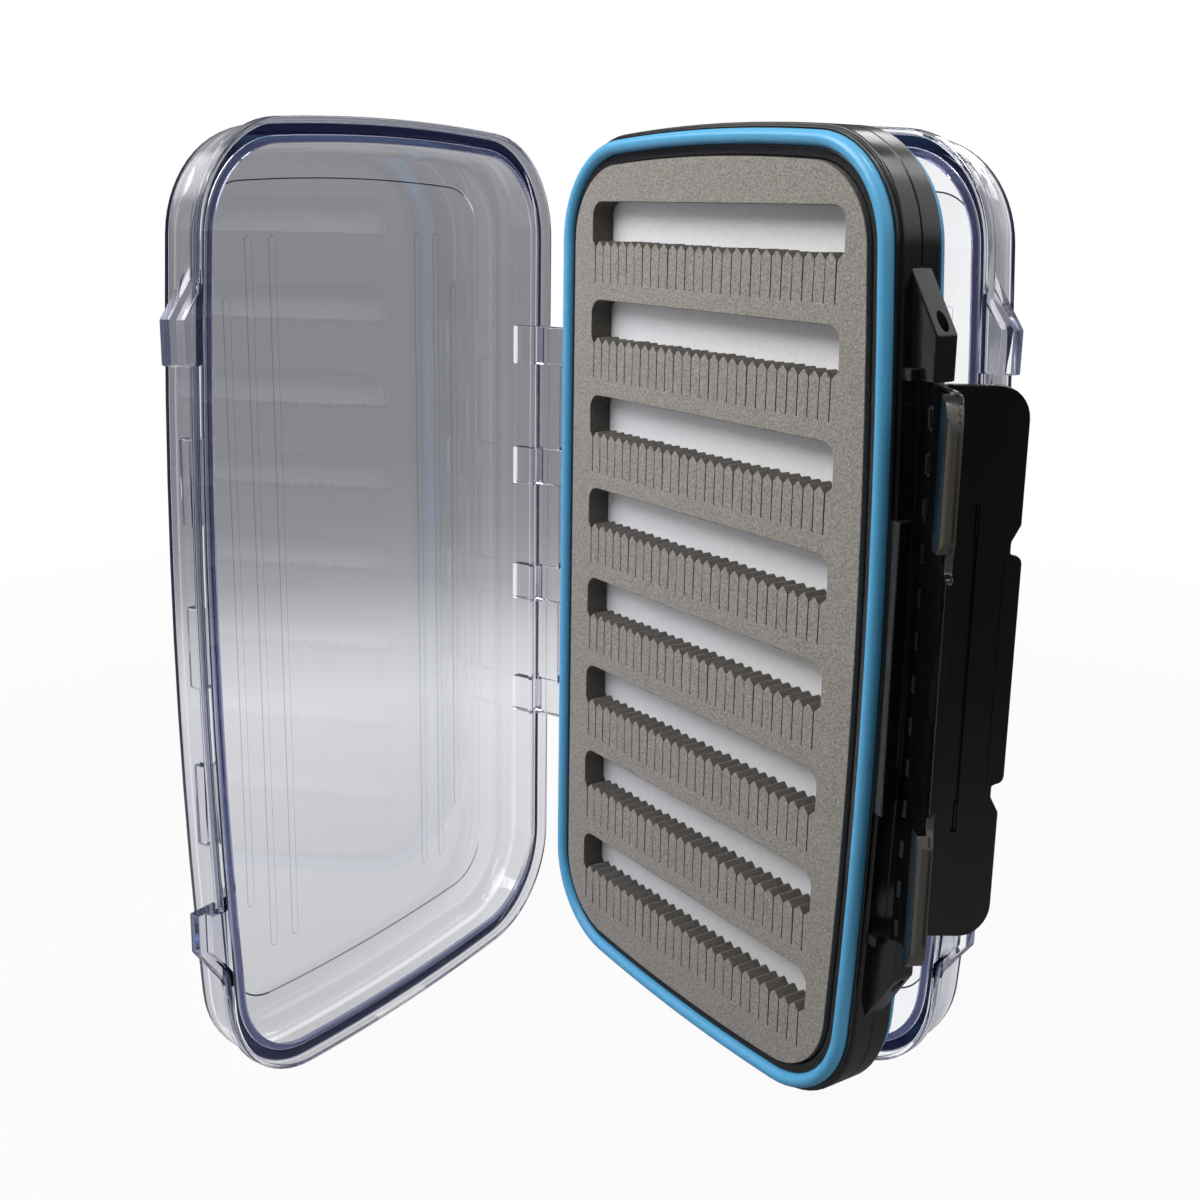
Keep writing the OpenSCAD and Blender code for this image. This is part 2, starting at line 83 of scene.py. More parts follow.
END_C = (0.0, HALF_H - END_R)
SIDE_C = (HALF_W - SIDE_R, 0.0)
LEFT_X = CORNER_R - HALF_W
LEFT_C = (LEFT_X, END_C[1] + sqrt((END_R - CORNER_R) ** 2 - LEFT_X ** 2))
RIGHT_C = upper_meet(SIDE_C, SIDE_R - CORNER_R, END_C, END_R - CORNER_R)
LEFT_TURN, RIGHT_TURN = bearing(END_C, LEFT_C), bearing(END_C, RIGHT_C)
SIDE_TURN = bearing(SIDE_C, RIGHT_C)


def outline(inset):
    """The frame's outline in X and Z about its own centre, moved inwards by inset."""
    upper = (arc(LEFT_C, CORNER_R - inset, pi, LEFT_TURN, CORNER_STEPS)
             + arc(END_C, END_R - inset, LEFT_TURN, RIGHT_TURN, END_STEPS)[1:-1]
             + arc(RIGHT_C, CORNER_R - inset, RIGHT_TURN, SIDE_TURN, CORNER_STEPS))
    side = arc(SIDE_C, SIDE_R - inset, SIDE_TURN, -SIDE_TURN, SIDE_STEPS)[1:-1]
    return upper + side + [(x, -z) for x, z in reversed(upper)]


HINGE_SIDE_IN, LATCH_SIDE_IN = 0.3, 0.9
SQUEEZE = 1 - (HINGE_SIDE_IN + LATCH_SIDE_IN) / FRAME_W
SQUEEZED_MID = (HINGE_SIDE_IN - LATCH_SIDE_IN) / 2


def frame_outline(inset):
    """The outline that the frame, the gaskets and the foam follow."""
    return [(SQUEEZED_MID + SQUEEZE * x, z) for x, z in outline(inset)]


print("Points in the outline:", len(outline(0)))

# %% [markdown]
# ## Helpers that make solids
# Each helper works in millimetres on the closed box, with depth measured from the middle of
# the frame towards the front. A swept ring follows the outline with one cross-section, which
# is how a lip, a flange or a moulded lid is really shaped. Straight pieces are extruded with
# small bevels, because no moulded edge is sharp and the bevel is what catches the light.

# %% Cross-sections, rings and extrusions
CIRCLE_WEIGHT = sqrt(0.5)  # makes the rounding of a square corner a true quarter circle
EDGE_SHARE = 0.49  # the most of an edge that the rounding of one corner takes
MERGE_DISTANCE = 2e-6  # in metres, as the mesh is


def rounded(corners, closed=True, steps=4):
    """A cross-section of (inset, depth, radius) corners, each rounded by its radius."""
    points = []
    n = len(corners)
    for i, (x, y, r) in enumerate(corners):
        if r <= 0 or (not closed and i in (0, n - 1)):
            points.append((x, y))
            continue
        here = Vector((x, y))
        to_last = Vector(corners[i - 1][:2]) - here
        to_next = Vector(corners[(i + 1) % n][:2]) - here
        reach = min(r, EDGE_SHARE * to_last.length, EDGE_SHARE * to_next.length)
        start, end = here + to_last.normalized() * reach, here + to_next.normalized() * reach
        for k in range(steps + 1):
            t = k / steps
            w = 2 * t * (1 - t) * CIRCLE_WEIGHT
            a, b = (1 - t) ** 2, t ** 2
            p = (start * a + here * w + end * b) / (a + w + b)
            points.append((p.x, p.y))
    return points


def in_scene(name, data):
    """A new object that is linked to the scene."""
    made = bpy.data.objects.new(name, data)
    bpy.context.scene.collection.objects.link(made)
    return made


def new_piece(name, points, faces, edges=()):
    """A mesh object from points in millimetres, with its faces turned outwards."""
    mesh = bpy.data.meshes.new(name)
    mesh.from_pydata([(x * MM, y * MM, z * MM) for x, y, z in points], edges, faces)
    piece = in_scene(name, mesh)
    tidy(piece)
    return piece


def tidy(piece):
    """Merge doubles and turn every face outwards."""
    bm = bmesh.new()
    bm.from_mesh(piece.data)
    bmesh.ops.remove_doubles(bm, verts=bm.verts, dist=MERGE_DISTANCE)
    bmesh.ops.recalc_face_normals(bm, faces=bm.faces)
    bm.to_mesh(piece.data)
    bm.free()


def prism_faces(n):
    """The faces of a prism with n points at each end, one end listed after the other."""
    return ([tuple(range(n)), tuple(range(n, 2 * n))]
            + [(i, (i + 1) % n, n + (i + 1) % n, n + i) for i in range(n)])


def swept_ring(name, section, edge, closed=True):
    """The section carried round an outline. An open section is closed by flat faces."""
    rings = [[(x, -depth, z + MID_Z) for x, z in edge(inset)] for inset, depth in section]
    n, m = len(rings[0]), len(rings)
    faces = [(j * n + i, j * n + (i + 1) % n, (j + 1) % m * n + (i + 1) % n, (j + 1) % m * n + i)
             for j in range(m if closed else m - 1) for i in range(n)]
    if not closed:
        faces += [tuple(range(n)), tuple((m - 1) * n + i for i in reversed(range(n)))]
    return new_piece(name, [p for ring in rings for p in ring], faces)


def extruded(name, points, low, high, along="depth", bevel=0.0, steps=2):
    """A polygon pushed from low to high: X and Z into the depth, or X and Y up from mid height."""
    place = ((lambda p, h: (p[0], -h, p[1] + MID_Z)) if along == "depth"
             else (lambda p, h: (p[0], p[1], MID_Z + h)))
    piece = new_piece(name, [place(p, h) for h in (low, high) for p in points], prism_faces(len(points)))
    if bevel:
        soften(piece, bevel, steps)
    return piece


def soften(piece, width, steps=2, angle=30):
    """Bevel the edges that are sharper than the angle."""
    bm = bmesh.new()
    bm.from_mesh(piece.data)
    edges = [e for e in bm.edges if e.is_manifold and e.calc_face_angle() > radians(angle)]
    bmesh.ops.bevel(bm, geom=edges, offset=width * MM, segments=steps, profile=0.5,
                    affect="EDGES", clamp_overlap=True)
    bm.to_mesh(piece.data)
    bm.free()


def block(name, x, depth, z, bevel=0.3):
    """A box from x[0] to x[1], depth[0] to depth[1] and z[0] to z[1] about mid height."""
    corners = [(x[0], z[0]), (x[1], z[0]), (x[1], z[1]), (x[0], z[1])]
    return extruded(name, corners, depth[0], depth[1], bevel=bevel)


def rod(name, x, radius, z, bevel=0.3, steps=40):
    """A round bar along Z."""
    circle = arc((x, 0), radius, 0, 2 * pi, steps)[:-1]
    return extruded(name, circle, z[0], z[1], along="height", bevel=bevel)


# %% [markdown]
# ## Joining, cutting and placing
# A moulded part is one skin. For clear plastic that matters most, because a hidden wall
# inside it would show, so its solids are joined with exact booleans. A modifier is always
# turned into plain mesh here.

# %% Booleans and places
def plain_mesh(piece):
    """What a curve or a piece with modifiers looks like, as a mesh."""
    bpy.context.view_layer.update()
    return bpy.data.meshes.new_from_object(piece.evaluated_get(bpy.context.evaluated_depsgraph_get()))


def apply_modifiers(piece):
    """Replace the mesh by what the modifiers make of it, and drop them."""
    made = plain_mesh(piece)
    piece.modifiers.clear()
    piece.data = made


def combined(piece, operation, *others):
    """Join (UNION), cut (DIFFERENCE) or keep what is shared (INTERSECT), one after the other."""
    for other in others:
        step = piece.modifiers.new("step", "BOOLEAN")
        step.object, step.operation, step.solver = other, operation, "EXACT"
        apply_modifiers(piece)
        bpy.data.objects.remove(other)
    return piece


def joined(name, pieces):
    """Put several closed solids into one mesh, without cutting them."""
    bm = bmesh.new()
    for piece in pieces:
        bm.from_mesh(piece.data)
        bpy.data.objects.remove(piece)
    mesh = bpy.data.meshes.new(name)
    bm.to_mesh(mesh)
    bm.free()
    return in_scene(name, mesh)


def turned(piece, x, angle):
    """Turn a piece about the upright axis at x, in degrees."""
    away = Matrix.Translation((x * MM, 0, 0))
    piece.data.transform(away @ Matrix.Rotation(radians(angle), 4, "Z") @ away.inverted())
    return piece


def on_rear(piece):
    """Mirror a piece from the front to the rear, and turn its faces outwards again."""
    piece.data.transform(Matrix.Diagonal((1, -1, 1, 1)))
    piece.data.flip_normals()
    return piece


def upside_down(piece, name):
    """A copy for the other end of the box."""
    twin = in_scene(name, piece.data.copy())
    twin.data.transform(Matrix.Translation((0, 0, 2 * MID_Z * MM)) @ Matrix.Diagonal((1, 1, -1, 1)))
    twin.data.flip_normals()
    return twin


def finish_surface(piece, material, angle=32):
    """Stand the foot on the floor, give the material, and shade smooth with the flats kept flat."""
    mesh = piece.data
    for vertex in mesh.vertices:
        vertex.co.z = max(vertex.co.z, 0.0)
    mesh.materials.clear()
    mesh.materials.append(material)
    mesh.polygons.foreach_set("material_index", [0] * len(mesh.polygons))
    mesh.polygons.foreach_set("use_smooth", [True] * len(mesh.polygons))
    mesh.set_sharp_from_angle(angle=radians(angle))
    flats = piece.modifiers.new("flats", "WEIGHTED_NORMAL")
    flats.keep_sharp, flats.weight = True, 100
    apply_modifiers(piece)
    print(piece.name, len(piece.data.polygons), "faces")


# %% [markdown]
# ## Shared effects: grain and handling
# Two effects come back in nearly every finish. Moulded plastic and foam both have a fine
# grain, and whatever is handled gets patches that are a little duller than the rest. Each is
# a shader node group, so one node tree serves every material with its own numbers.

# %% Shader node groups
def node_group(name, tree_kind, inputs, outputs):
    """A node group with its input and output nodes. Each socket is a label with its kind."""
    group = bpy.data.node_groups.new(name, tree_kind)
    for way, sockets in (("INPUT", inputs), ("OUTPUT", outputs)):
        for label, kind in sockets.items():
            group.interface.new_socket(label, in_out=way, socket_type="NodeSocket" + kind)
    return group, group.nodes.new("NodeGroupInput"), group.nodes.new("NodeGroupOutput")


def wire(tree, *chains):
    """Join sockets. A chain is a node, its output, an input of the next node, that node, and so on."""
    for chain in chains:
        for i in range(0, len(chain) - 1, 3):
            start, output, entry, end = chain[i:i + 4]
            tree.links.new(start.outputs[output], end.inputs[entry])


def node(tree, kind, **settings):
    """A new node with its settings. A kind that doesn't contain Node is a shader node."""
    made = tree.nodes.new(kind if "Node" in kind else "ShaderNode" + kind)
    for name, value in settings.items():
        setattr(made, name, value)
    return made


def nodes(tree, *kinds):
    return [node(tree, kind) for kind in kinds]


def filled(made, **values):
    """Set a node's inputs by name, with _ for a space."""
    for name, value in values.items():
        made.inputs[name.replace("_", " ")].default_value = value
    return made


def maths(tree, operation, *numbers):
    """A Math node with its first inputs set. None leaves an input to be linked."""
    made = node(tree, "Math", operation=operation)
    for socket, number in zip(made.inputs, numbers):
        if number is not None:
            socket.default_value = number
    return made


def mix(tree, data_type="RGBA", **values):
    """A Mix node with some of its inputs set."""
    return filled(node(tree, "Mix", data_type=data_type), **values)


def carried(tree, start, end, low=0.0, high=1.0, smooth=False):
    """A node that carries the range start to end onto low to high."""
    made = node(tree, "MapRange", interpolation_type="SMOOTHSTEP" if smooth else "LINEAR")
    return filled(made, From_Min=start, From_Max=end, To_Min=low, To_Max=high)


def build_grain():
    """Fine noise, as a height for bumps and as a tint that wanders round 1."""
    group, inner, outer = node_group("surface_grain", "ShaderNodeTree",
                                     {"Scale": "Float", "Tint Spread": "Float"},
                                     {"Height": "Float", "Tint": "Float"})
    where, fine = nodes(group, "TexCoord", "TexNoise")
    filled(fine, Detail=3.0, Roughness=0.6)
    low, high = maths(group, "SUBTRACT", 1.0), maths(group, "ADD", 1.0)
    span = carried(group, 0.3, 0.7)
    wire(group, (where, "Object", "Vector", fine, "Fac", "Value", span, "Result", "Tint", outer),
         (inner, "Scale", "Scale", fine, "Fac", "Height", outer),
         (inner, "Tint Spread", 1, low, 0, "To Min", span),
         (inner, "Tint Spread", 1, high, 0, "To Max", span))
    return group


def build_handling():
    """Roughness that is a little higher in soft patches, where hands have dulled the gloss."""
    group, inner, outer = node_group("handling_marks", "ShaderNodeTree",
                                     {"Clean": "Float", "Dulled": "Float"}, {"Roughness": "Float"})
    where, patches = nodes(group, "TexCoord", "TexNoise")
    filled(patches, Scale=60.0, Detail=4.0)
    span = carried(group, 0.42, 0.68, smooth=True)
    wire(group,
         (where, "Object", "Vector", patches, "Fac", "Value", span, "Result", "Roughness", outer),
         (inner, "Clean", "To Min", span), (inner, "Dulled", "To Max", span))
    return group


GRAIN, HANDLING = build_grain(), build_handling()
print("Shader groups:", GRAIN.name, HANDLING.name)

# %% [markdown]
# ## Finishes
# The frame and latches are glossy black plastic, the gaskets are satin blue silicone, the
# foam is a fine closed-cell sheet and its backing is smooth white card. Each finish takes its
# grain and its dulled patches from the two groups; only the numbers differ. The foam has two
# materials: the faces that the die has cut, in the windows and the slits, are darker, as
# painted shade of these recesses.

# %% Materials
def new_material(name):
    """A new material, its node tree, its Principled node and its output node."""
    material = bpy.data.materials.new(name)
    material.use_nodes = True
    tree = material.node_tree
    return material, tree, tree.nodes["Principled BSDF"], tree.nodes["Material Output"]


def linear(*shown):
    """The linear colour that shows as this 0 to 255 colour."""
    return tuple(c / 255 / 12.92 if c <= 10 else ((c / 255 + 0.055) / 1.055) ** 2.4 for c in shown)


def finish_of(name, shown, clean, dulled, grain, bump, spread, **plain):
    """A Principled material with a grain, a tint that wanders and dulled patches."""
    material, tree, surface, _ = new_material(name)
    filled(surface, **plain)
    grained = filled(node(tree, "Group", node_tree=GRAIN), Scale=grain, Tint_Spread=spread)
    handled = filled(node(tree, "Group", node_tree=HANDLING), Clean=clean, Dulled=dulled)
    tinted = mix(tree, Factor=1.0, A=(*linear(*shown), 1.0))
    tinted.blend_type = "MULTIPLY"
    relief = filled(node(tree, "Bump"), Distance=bump * MM)
    wire(tree, (grained, "Tint", "B", tinted, "Result", "Base Color", surface),
         (grained, "Height", "Height", relief, "Normal", "Normal", surface),
         (handled, "Roughness", "Roughness", surface))
    return material


# Colour from 0 to 255, roughness clean and dulled, scale of the grain, its bump in mm, tint spread
BLACK = finish_of("black_plastic", (20, 20, 21), 0.16, 0.27, 2600, 0.006, 0.15)
LATCH_BLACK = finish_of("latch_plastic", (10, 10, 11), 0.16, 0.26, 2600, 0.006, 0.15)
# The latch tips are a paler brown-grey: a duller finish with a painted sheen.
LATCH_EDGE_SHEEN = finish_of("latch_edge", (78, 74, 68), 0.4, 0.5, 2600, 0.02, 0.15)
BLUE = finish_of("blue_silicone", (84, 166, 210), 0.3, 0.4, 1800, 0.01, 0.05)
FOAM = finish_of("foam_skin", (142, 137, 130), 0.85, 0.92, 2300, 0.16, 0.42)
# The cut faces are darker: painted shade on the walls of the windows and the slits.
FOAM_CUT_SHADE = finish_of("foam_cut", (92, 88, 83), 0.9, 0.95, 1600, 0.14, 0.25)
WHITE = finish_of("white_backing", (246, 246, 246), 0.5, 0.6, 900, 0.01, 0.03)
STEEL = finish_of("pin_steel", (180, 180, 182), 0.22, 0.4, 1500, 0.004, 0.08, Metallic=1.0)
print("Materials:", len(bpy.data.materials))

# %% [markdown]
# ## Clear plastic
# The lids are thick clear polycarbonate. Real glass shading is used, with a refraction index
# near that of the plastic, so the flange and the lugs bend the light as they do on the real
# box. Where light travels far inside the plastic, at the ledge in the flange, a deep indigo is
# painted into the base colour as painted shade, carried by an attribute called rim. A second
# attribute paints shade on the sides of the grooves, so that they show as dark lines, and a
# faint indigo glow is painted on all of the plastic. Shadow rays pass straight through, because
# a renderer can't trace focused light cleanly.

# %% Clear material
# The rim's colour is painted indigo shade, for light that travels far inside the flange.
CLEAR_TINT, RIM_PAINTED_SHADE = (0.99, 0.99, 0.99, 1.0), (0.14, 0.155, 0.28, 1.0)
# The sides of the grooves take part of the rim's colour as painted shade, so that they show as dark
# lines.
GROOVE_SHADE_SHARE = 0.65  # how much of the rim's tint the sides of a groove take
# A faint painted indigo glow on the whole lid, so that edges where light is trapped inside show dark
# indigo instead of black.
PAINTED_GLOW = (0.002, 0.0023, 0.007, 1.0)
SHADOW_TINT = (0.86, 0.87, 0.9, 1.0)
DEPTH_TINT, DEPTH_DENSITY = (0.68, 0.69, 0.8, 1.0), 60.0


def clear_plastic():
    material, tree, surface, output = new_material("clear_polycarbonate")
    filled(surface, Transmission_Weight=1.0, IOR=1.5, Emission_Color=PAINTED_GLOW, Emission_Strength=1.0)
    rim, groove_shade = [node(tree, "Attribute", attribute_name=name) for name in ("rim", "groove_shade")]
    marked = maths(tree, "MULTIPLY_ADD", None, GROOVE_SHADE_SHARE)
    tint_and_painted_shade = mix(tree, A=CLEAR_TINT, B=RIM_PAINTED_SHADE)
    handled = filled(node(tree, "Group", node_tree=HANDLING), Clean=0.015, Dulled=0.03)
    shadow, mixed = nodes(tree, "LightPath", "MixShader")
    clear = filled(node(tree, "BsdfTransparent"), Color=SHADOW_TINT)
    depth = filled(node(tree, "VolumeAbsorption"), Color=DEPTH_TINT, Density=DEPTH_DENSITY)
    wire(tree, (groove_shade, "Fac", 0, marked, 0, "Factor", tint_and_painted_shade, "Result", "Base Color", surface, "BSDF",
          1, mixed, "Shader", "Surface", output), (rim, "Fac", 2, marked),
         (handled, "Roughness", "Roughness", surface), (shadow, "Is Shadow Ray", "Fac", mixed),
         (clear, "BSDF", 2, mixed), (depth, "Volume", "Volume", output))
    return material


CLEAR = clear_plastic()
print("Clear plastic:", CLEAR.name)

# %% [markdown]
# ## Geometry Nodes for what repeats
# Knuckles stand in a row, teeth stand in rows and columns, and the gasket follows the
# outline. Each of these is one small tree with named inputs. The modifier's inputs are set by
# the socket's identifier, and the result is turned into plain mesh at once.

# %% Trees for rows, teeth and beads
def geometry_group(name, **inputs):
    """A tree from a mesh to a mesh. Its inputs are given as label=kind, with _ for a space."""
    sockets = {"Geometry": "Geometry", "Material": "Material"}
    sockets.update({label.replace("_", " "): kind for label, kind in inputs.items()})
    return node_group(name, "GeometryNodeTree", sockets, {"Geometry": "Geometry"})


def end_tree(group, inner, outer, last, output):
    """Turn what the last node gives into plain mesh, give it the material and put it out."""
    real, painted = nodes(group, "GeometryNodeRealizeInstances", "GeometryNodeSetMaterial")
    wire(group, (last, output, "Geometry", real, "Geometry", "Geometry", painted, "Geometry",
          "Geometry", outer), (inner, "Material", "Material", painted))
    return group


def run_tree(piece, group, **values):
    """Run a tree on a piece with values by input name, and keep the plain mesh."""
    modifier = piece.modifiers.new(group.name, "NODES")
    modifier.node_group = group
    for item in group.interface.items_tree:
        name = item.name.replace(" ", "_")
        if item.item_type == "SOCKET" and item.in_out == "INPUT" and name in values:
            modifier[item.identifier] = values[name]
    apply_modifiers(piece)
    return piece


def build_row():
    """Copies of a piece in a straight row."""
    group, inner, outer = geometry_group("row_of_copies", Count="Int", Step="Vector")
    line, spread = nodes(group, "GeometryNodeMeshLine", "GeometryNodeInstanceOnPoints")
    wire(group, (inner, "Count", "Count", line, "Mesh", "Points", spread),
         (inner, "Step", "Offset", line), (inner, "Geometry", "Instance", spread))
    return end_tree(group, inner, outer, spread, "Instances")


ROW = build_row()


def row_of(piece, count, step, material):
    return run_tree(piece, ROW, Count=count, Step=(0.0, 0.0, step * MM), Material=material)


# %% [markdown]
# ## Centre frame
# The frame is one black moulding: an outer wall with a thin parting line round its middle,
# a lip, the groove for the gasket, a second lip and a thin web that divides the two sides. A
# swept ring gives all of that in one go, and the hinge knuckles are a row of copies.

# %% Ring, web and recess
WALL_D, LIP_IN, LIP_D = 4.3, 0.62, 5.3
GROOVE_OUT_IN, GROOVE_IN_IN, GROOVE_FLOOR = 1.15, 3.95, 4.0
INNER_LIP_IN, INNER_LIP_D = 6.05, 6.0
PARTING_IN, PARTING_D = 0.28, 0.2
WEB_IN, WEB_D = 5.9, 0.8
HINGE_X, HINGE_HALF = -55.12, 60.7
RECESS_X, RECESS_END = -51.9, HINGE_HALF + 0.8
KNUCKLE_R, KNUCKLE_LEN, KNUCKLE_PITCH = 2.9, 8.6, 9.4
FRAME_KNUCKLES, LID_KNUCKLES = 5, 4
LOWEST_SLOT = (-HINGE_HALF, -HINGE_HALF + KNUCKLE_LEN)
half_section = [(PARTING_IN, 0, 0.05), (0, PARTING_D, 0.1), (0, WALL_D, 0.3), (LIP_IN, WALL_D + 0.1, 0.1),
                (LIP_IN, LIP_D, 0.22), (GROOVE_OUT_IN, LIP_D, 0.12), (GROOVE_OUT_IN, GROOVE_FLOOR, 0),
                (GROOVE_IN_IN, GROOVE_FLOOR, 0), (GROOVE_IN_IN, INNER_LIP_D, 0.3),
                (INNER_LIP_IN, INNER_LIP_D, 0.55)]
rear_half = [(inset, -depth, r) for inset, depth, r in reversed(half_section[1:])]
ring = swept_ring("frame_ring", rounded(half_section + rear_half), frame_outline)
recess = block("recess", (-60, RECESS_X), (-9, 9), (-RECESS_END, RECESS_END), bevel=0)
combined(ring, "DIFFERENCE", recess)
web = extruded("frame_web", frame_outline(WEB_IN), -WEB_D, WEB_D)
print("Ring:", len(ring.data.polygons), "faces")

# %% Knuckles, lugs and strips of the frame
LUG_LOW, LUG_BEND, LUG_TOP = 50.8, 58.7, 71.6
LUG_ROOT, LUG_X, LUG_HALF_T = 48.2, 56.5, 2.5
LATCH_X, LATCH_PIN_R = 55.1, 1.1
SIDE_X = 50.0  # inside the frame's wall at the latches, where what stands on it is rooted
STRIP_X, STRIP_HALF = 53.55, 27


def bored(piece, x, radius, z):
    """Drill a hole along Z, from 1 mm below z[0] to 1 mm above z[1]."""
    return combined(piece, "DIFFERENCE", rod("bore", x, radius, (z[0] - 1, z[1] + 1), bevel=0))


def knuckle(name, arm_x, arm_depth, bore):
    """A barrel with its arm, at the lowest slot of the hinge."""
    barrel = rod(name, HINGE_X, KNUCKLE_R, LOWEST_SLOT, bevel=0.35)
    combined(barrel, "UNION", block("arm", arm_x, arm_depth, LOWEST_SLOT))
    return bored(barrel, HINGE_X, bore, LOWEST_SLOT)


frame_knuckles = row_of(knuckle("knuckles", (-54.9, -50.5), (-2.85, 2.85), 1.22),
                        FRAME_KNUCKLES, 3 * KNUCKLE_PITCH, BLACK)
lug_points = [(LUG_ROOT, LUG_TOP), (LUG_X, LUG_BEND), (LUG_X, LUG_LOW), (SIDE_X, LUG_LOW),
              (LUG_ROOT, LUG_BEND)]
frame_lug = extruded("frame_lug", lug_points, -LUG_HALF_T, LUG_HALF_T, bevel=0.4)
ledge = block("lug_ledge", (SIDE_X, HALF_W), (-WALL_D, WALL_D), (LUG_LOW, LUG_LOW + 2.2))
combined(frame_lug, "UNION", ledge)
bored(frame_lug, LATCH_X, LATCH_PIN_R, (LUG_BEND - 2, LUG_TOP + 1))
lower_lug = upside_down(frame_lug, "lower_lug")
strips = [block("strip", (SIDE_X, STRIP_X), depth, (-STRIP_HALF, STRIP_HALF))
          for depth in ((2.4, 5.2), (-5.2, -2.4))]
centre_frame = joined("centre_frame_black", [ring, web, frame_knuckles, frame_lug, lower_lug] + strips)
finish_surface(centre_frame, BLACK)

# %% [markdown]
# ## Gaskets
# Each gasket is a soft blue cord that stands up from its groove, a little taller than it is
# wide. Curve to Mesh carries a profile along a path, so the tree takes the outline as a loop of
# edges, sweeps a round bead along it, and stretches the bead from the floor to its crown.

# %% Bead along the outline
GASKET_INSET, GASKET_R, GASKET_TOP = 2.55, 1.42, 7.4


def build_bead():
    """A round bead along a loop of edges, stretched and shifted in Y."""
    group, inner, outer = geometry_group("gasket_bead", Radius="Float", Stretch="Float", Shift="Float")
    path, sweep = nodes(group, "GeometryNodeMeshToCurve", "GeometryNodeCurveToMesh")
    profile = filled(node(group, "GeometryNodeCurvePrimitiveCircle"), Resolution=20)
    place, moved = nodes(group, "GeometryNodeInputPosition", "GeometryNodeSetPosition")
    parts, again = nodes(group, "SeparateXYZ", "CombineXYZ")
    press = maths(group, "MULTIPLY_ADD")
    wire(group, (inner, "Geometry", "Mesh", path, "Curve", "Curve", sweep, "Mesh", "Geometry", moved),
         (inner, "Radius", "Radius", profile, "Curve", "Profile Curve", sweep),
         (place, "Position", "Vector", parts, "Y", 0, press, 0, "Y", again, "Vector",
          "Position", moved), (inner, "Stretch", 1, press), (inner, "Shift", 2, press),
         (parts, "X", "X", again), (parts, "Z", "Z", again))
    return end_tree(group, inner, outer, moved, "Geometry")


def gasket(name):
    loop = frame_outline(GASKET_INSET)
    edges = [(i, (i + 1) % len(loop)) for i in range(len(loop))]
    bead = new_piece(name, [(x, 0.0, z + MID_Z) for x, z in loop], [], edges)
    run_tree(bead, BEAD, Radius=GASKET_R * MM, Stretch=(GASKET_TOP - GROOVE_FLOOR) / 2 / GASKET_R,
             Shift=-(GASKET_TOP + GROOVE_FLOOR) / 2 * MM, Material=BLUE)
    tidy(bead)
    return bead


BEAD = build_bead()
front_gasket = gasket("front_gasket_blue")
rear_gasket = on_rear(in_scene("rear_gasket_blue", front_gasket.data.copy()))
for bead in (front_gasket, rear_gasket):
    finish_surface(bead, BLUE, angle=60)

# %% [markdown]
# ## Foam sheets
# A die cuts eight windows into each sheet and slits the strip below each window into teeth,
# which hold the flies. The slits are thin, and the teeth lean a little this way and that. So
# the sheet is a plate with eight holes, and the teeth are 208 copies of one small tooth, set
# out by a tree that gives each a slight random lean and width from a fixed seed.

# %% Plate with windows
FOAM_BACK, FOAM_FACE = 1.57, 6.87
FOAM_INSET = 6.12
WINDOW_LEFT, WINDOW_RIGHT, WINDOW_H, WINDOW_R = -39.85, 37.85, 8.18, 3.0
FIRST_SLIT, TOOTH_PITCH, TOOTH_N, SLIT_D, NOTCH = -38.75, 2.88, 26, 8.6, 1.1
ROW_N, ROW_PITCH, TOP_TIPS = 8, 20.5, 165.31
SLIT_W, FOAM_SOFT = 0.14, 0.22
SHOULDER, TIP_HALF, TIP_RISE = 0.3, 0.12, 0.04


def window_outline(tips):
    """A window and the comb below it, about mid height, with the tips of the teeth at tips."""
    last_slit = FIRST_SLIT + TOOTH_N * TOOTH_PITCH
    upper = WINDOW_H - WINDOW_R
    comb_left, comb_right = FIRST_SLIT - 0.1, last_slit + 0.1
    shape = [(WINDOW_LEFT, SHOULDER), (comb_left, -NOTCH), (comb_left, -SLIT_D),
             (comb_right, -SLIT_D), (comb_right, -NOTCH), (WINDOW_RIGHT, SHOULDER)]
    shape += arc((WINDOW_RIGHT - WINDOW_R, upper), WINDOW_R, 0, pi / 2, 6)
    shape += arc((WINDOW_LEFT + WINDOW_R, upper), WINDOW_R, pi / 2, pi, 6)
    return [(x, z + tips - MID_Z) for x, z in shape]


def foam_plate(name):
    sheet = bpy.data.curves.new(name, "CURVE")
    sheet.dimensions, sheet.fill_mode = "2D", "BOTH"
    sheet.extrude = (FOAM_FACE - FOAM_BACK) / 2 - FOAM_SOFT
    sheet.bevel_depth, sheet.bevel_resolution, sheet.offset = FOAM_SOFT, 2, -FOAM_SOFT
    windows = [window_outline(TOP_TIPS - i * ROW_PITCH) for i in range(ROW_N)]
    for loop in [frame_outline(FOAM_INSET)] + windows:
        spline = sheet.splines.new("POLY")
        spline.points.add(len(loop) - 1)
        for point, (x, z) in zip(spline.points, loop):
            point.co = (x, z, 0, 1)
        spline.use_cyclic_u = True
    flat = in_scene(name, sheet)
    mesh = plain_mesh(flat)
    bpy.data.objects.remove(flat)
    plate = in_scene(name, mesh)
    middle = -(FOAM_BACK + FOAM_FACE) / 2
    stand = Matrix(((1, 0, 0, 0), (0, 0, -1, middle), (0, 1, 0, MID_Z), (0, 0, 0, 1)))
    plate.data.transform(Matrix.Scale(MM, 4) @ stand)
    tidy(plate)
    return plate


front_foam = foam_plate("front_foam_grey")
print("Foam plate:", len(front_foam.data.polygons), "faces")

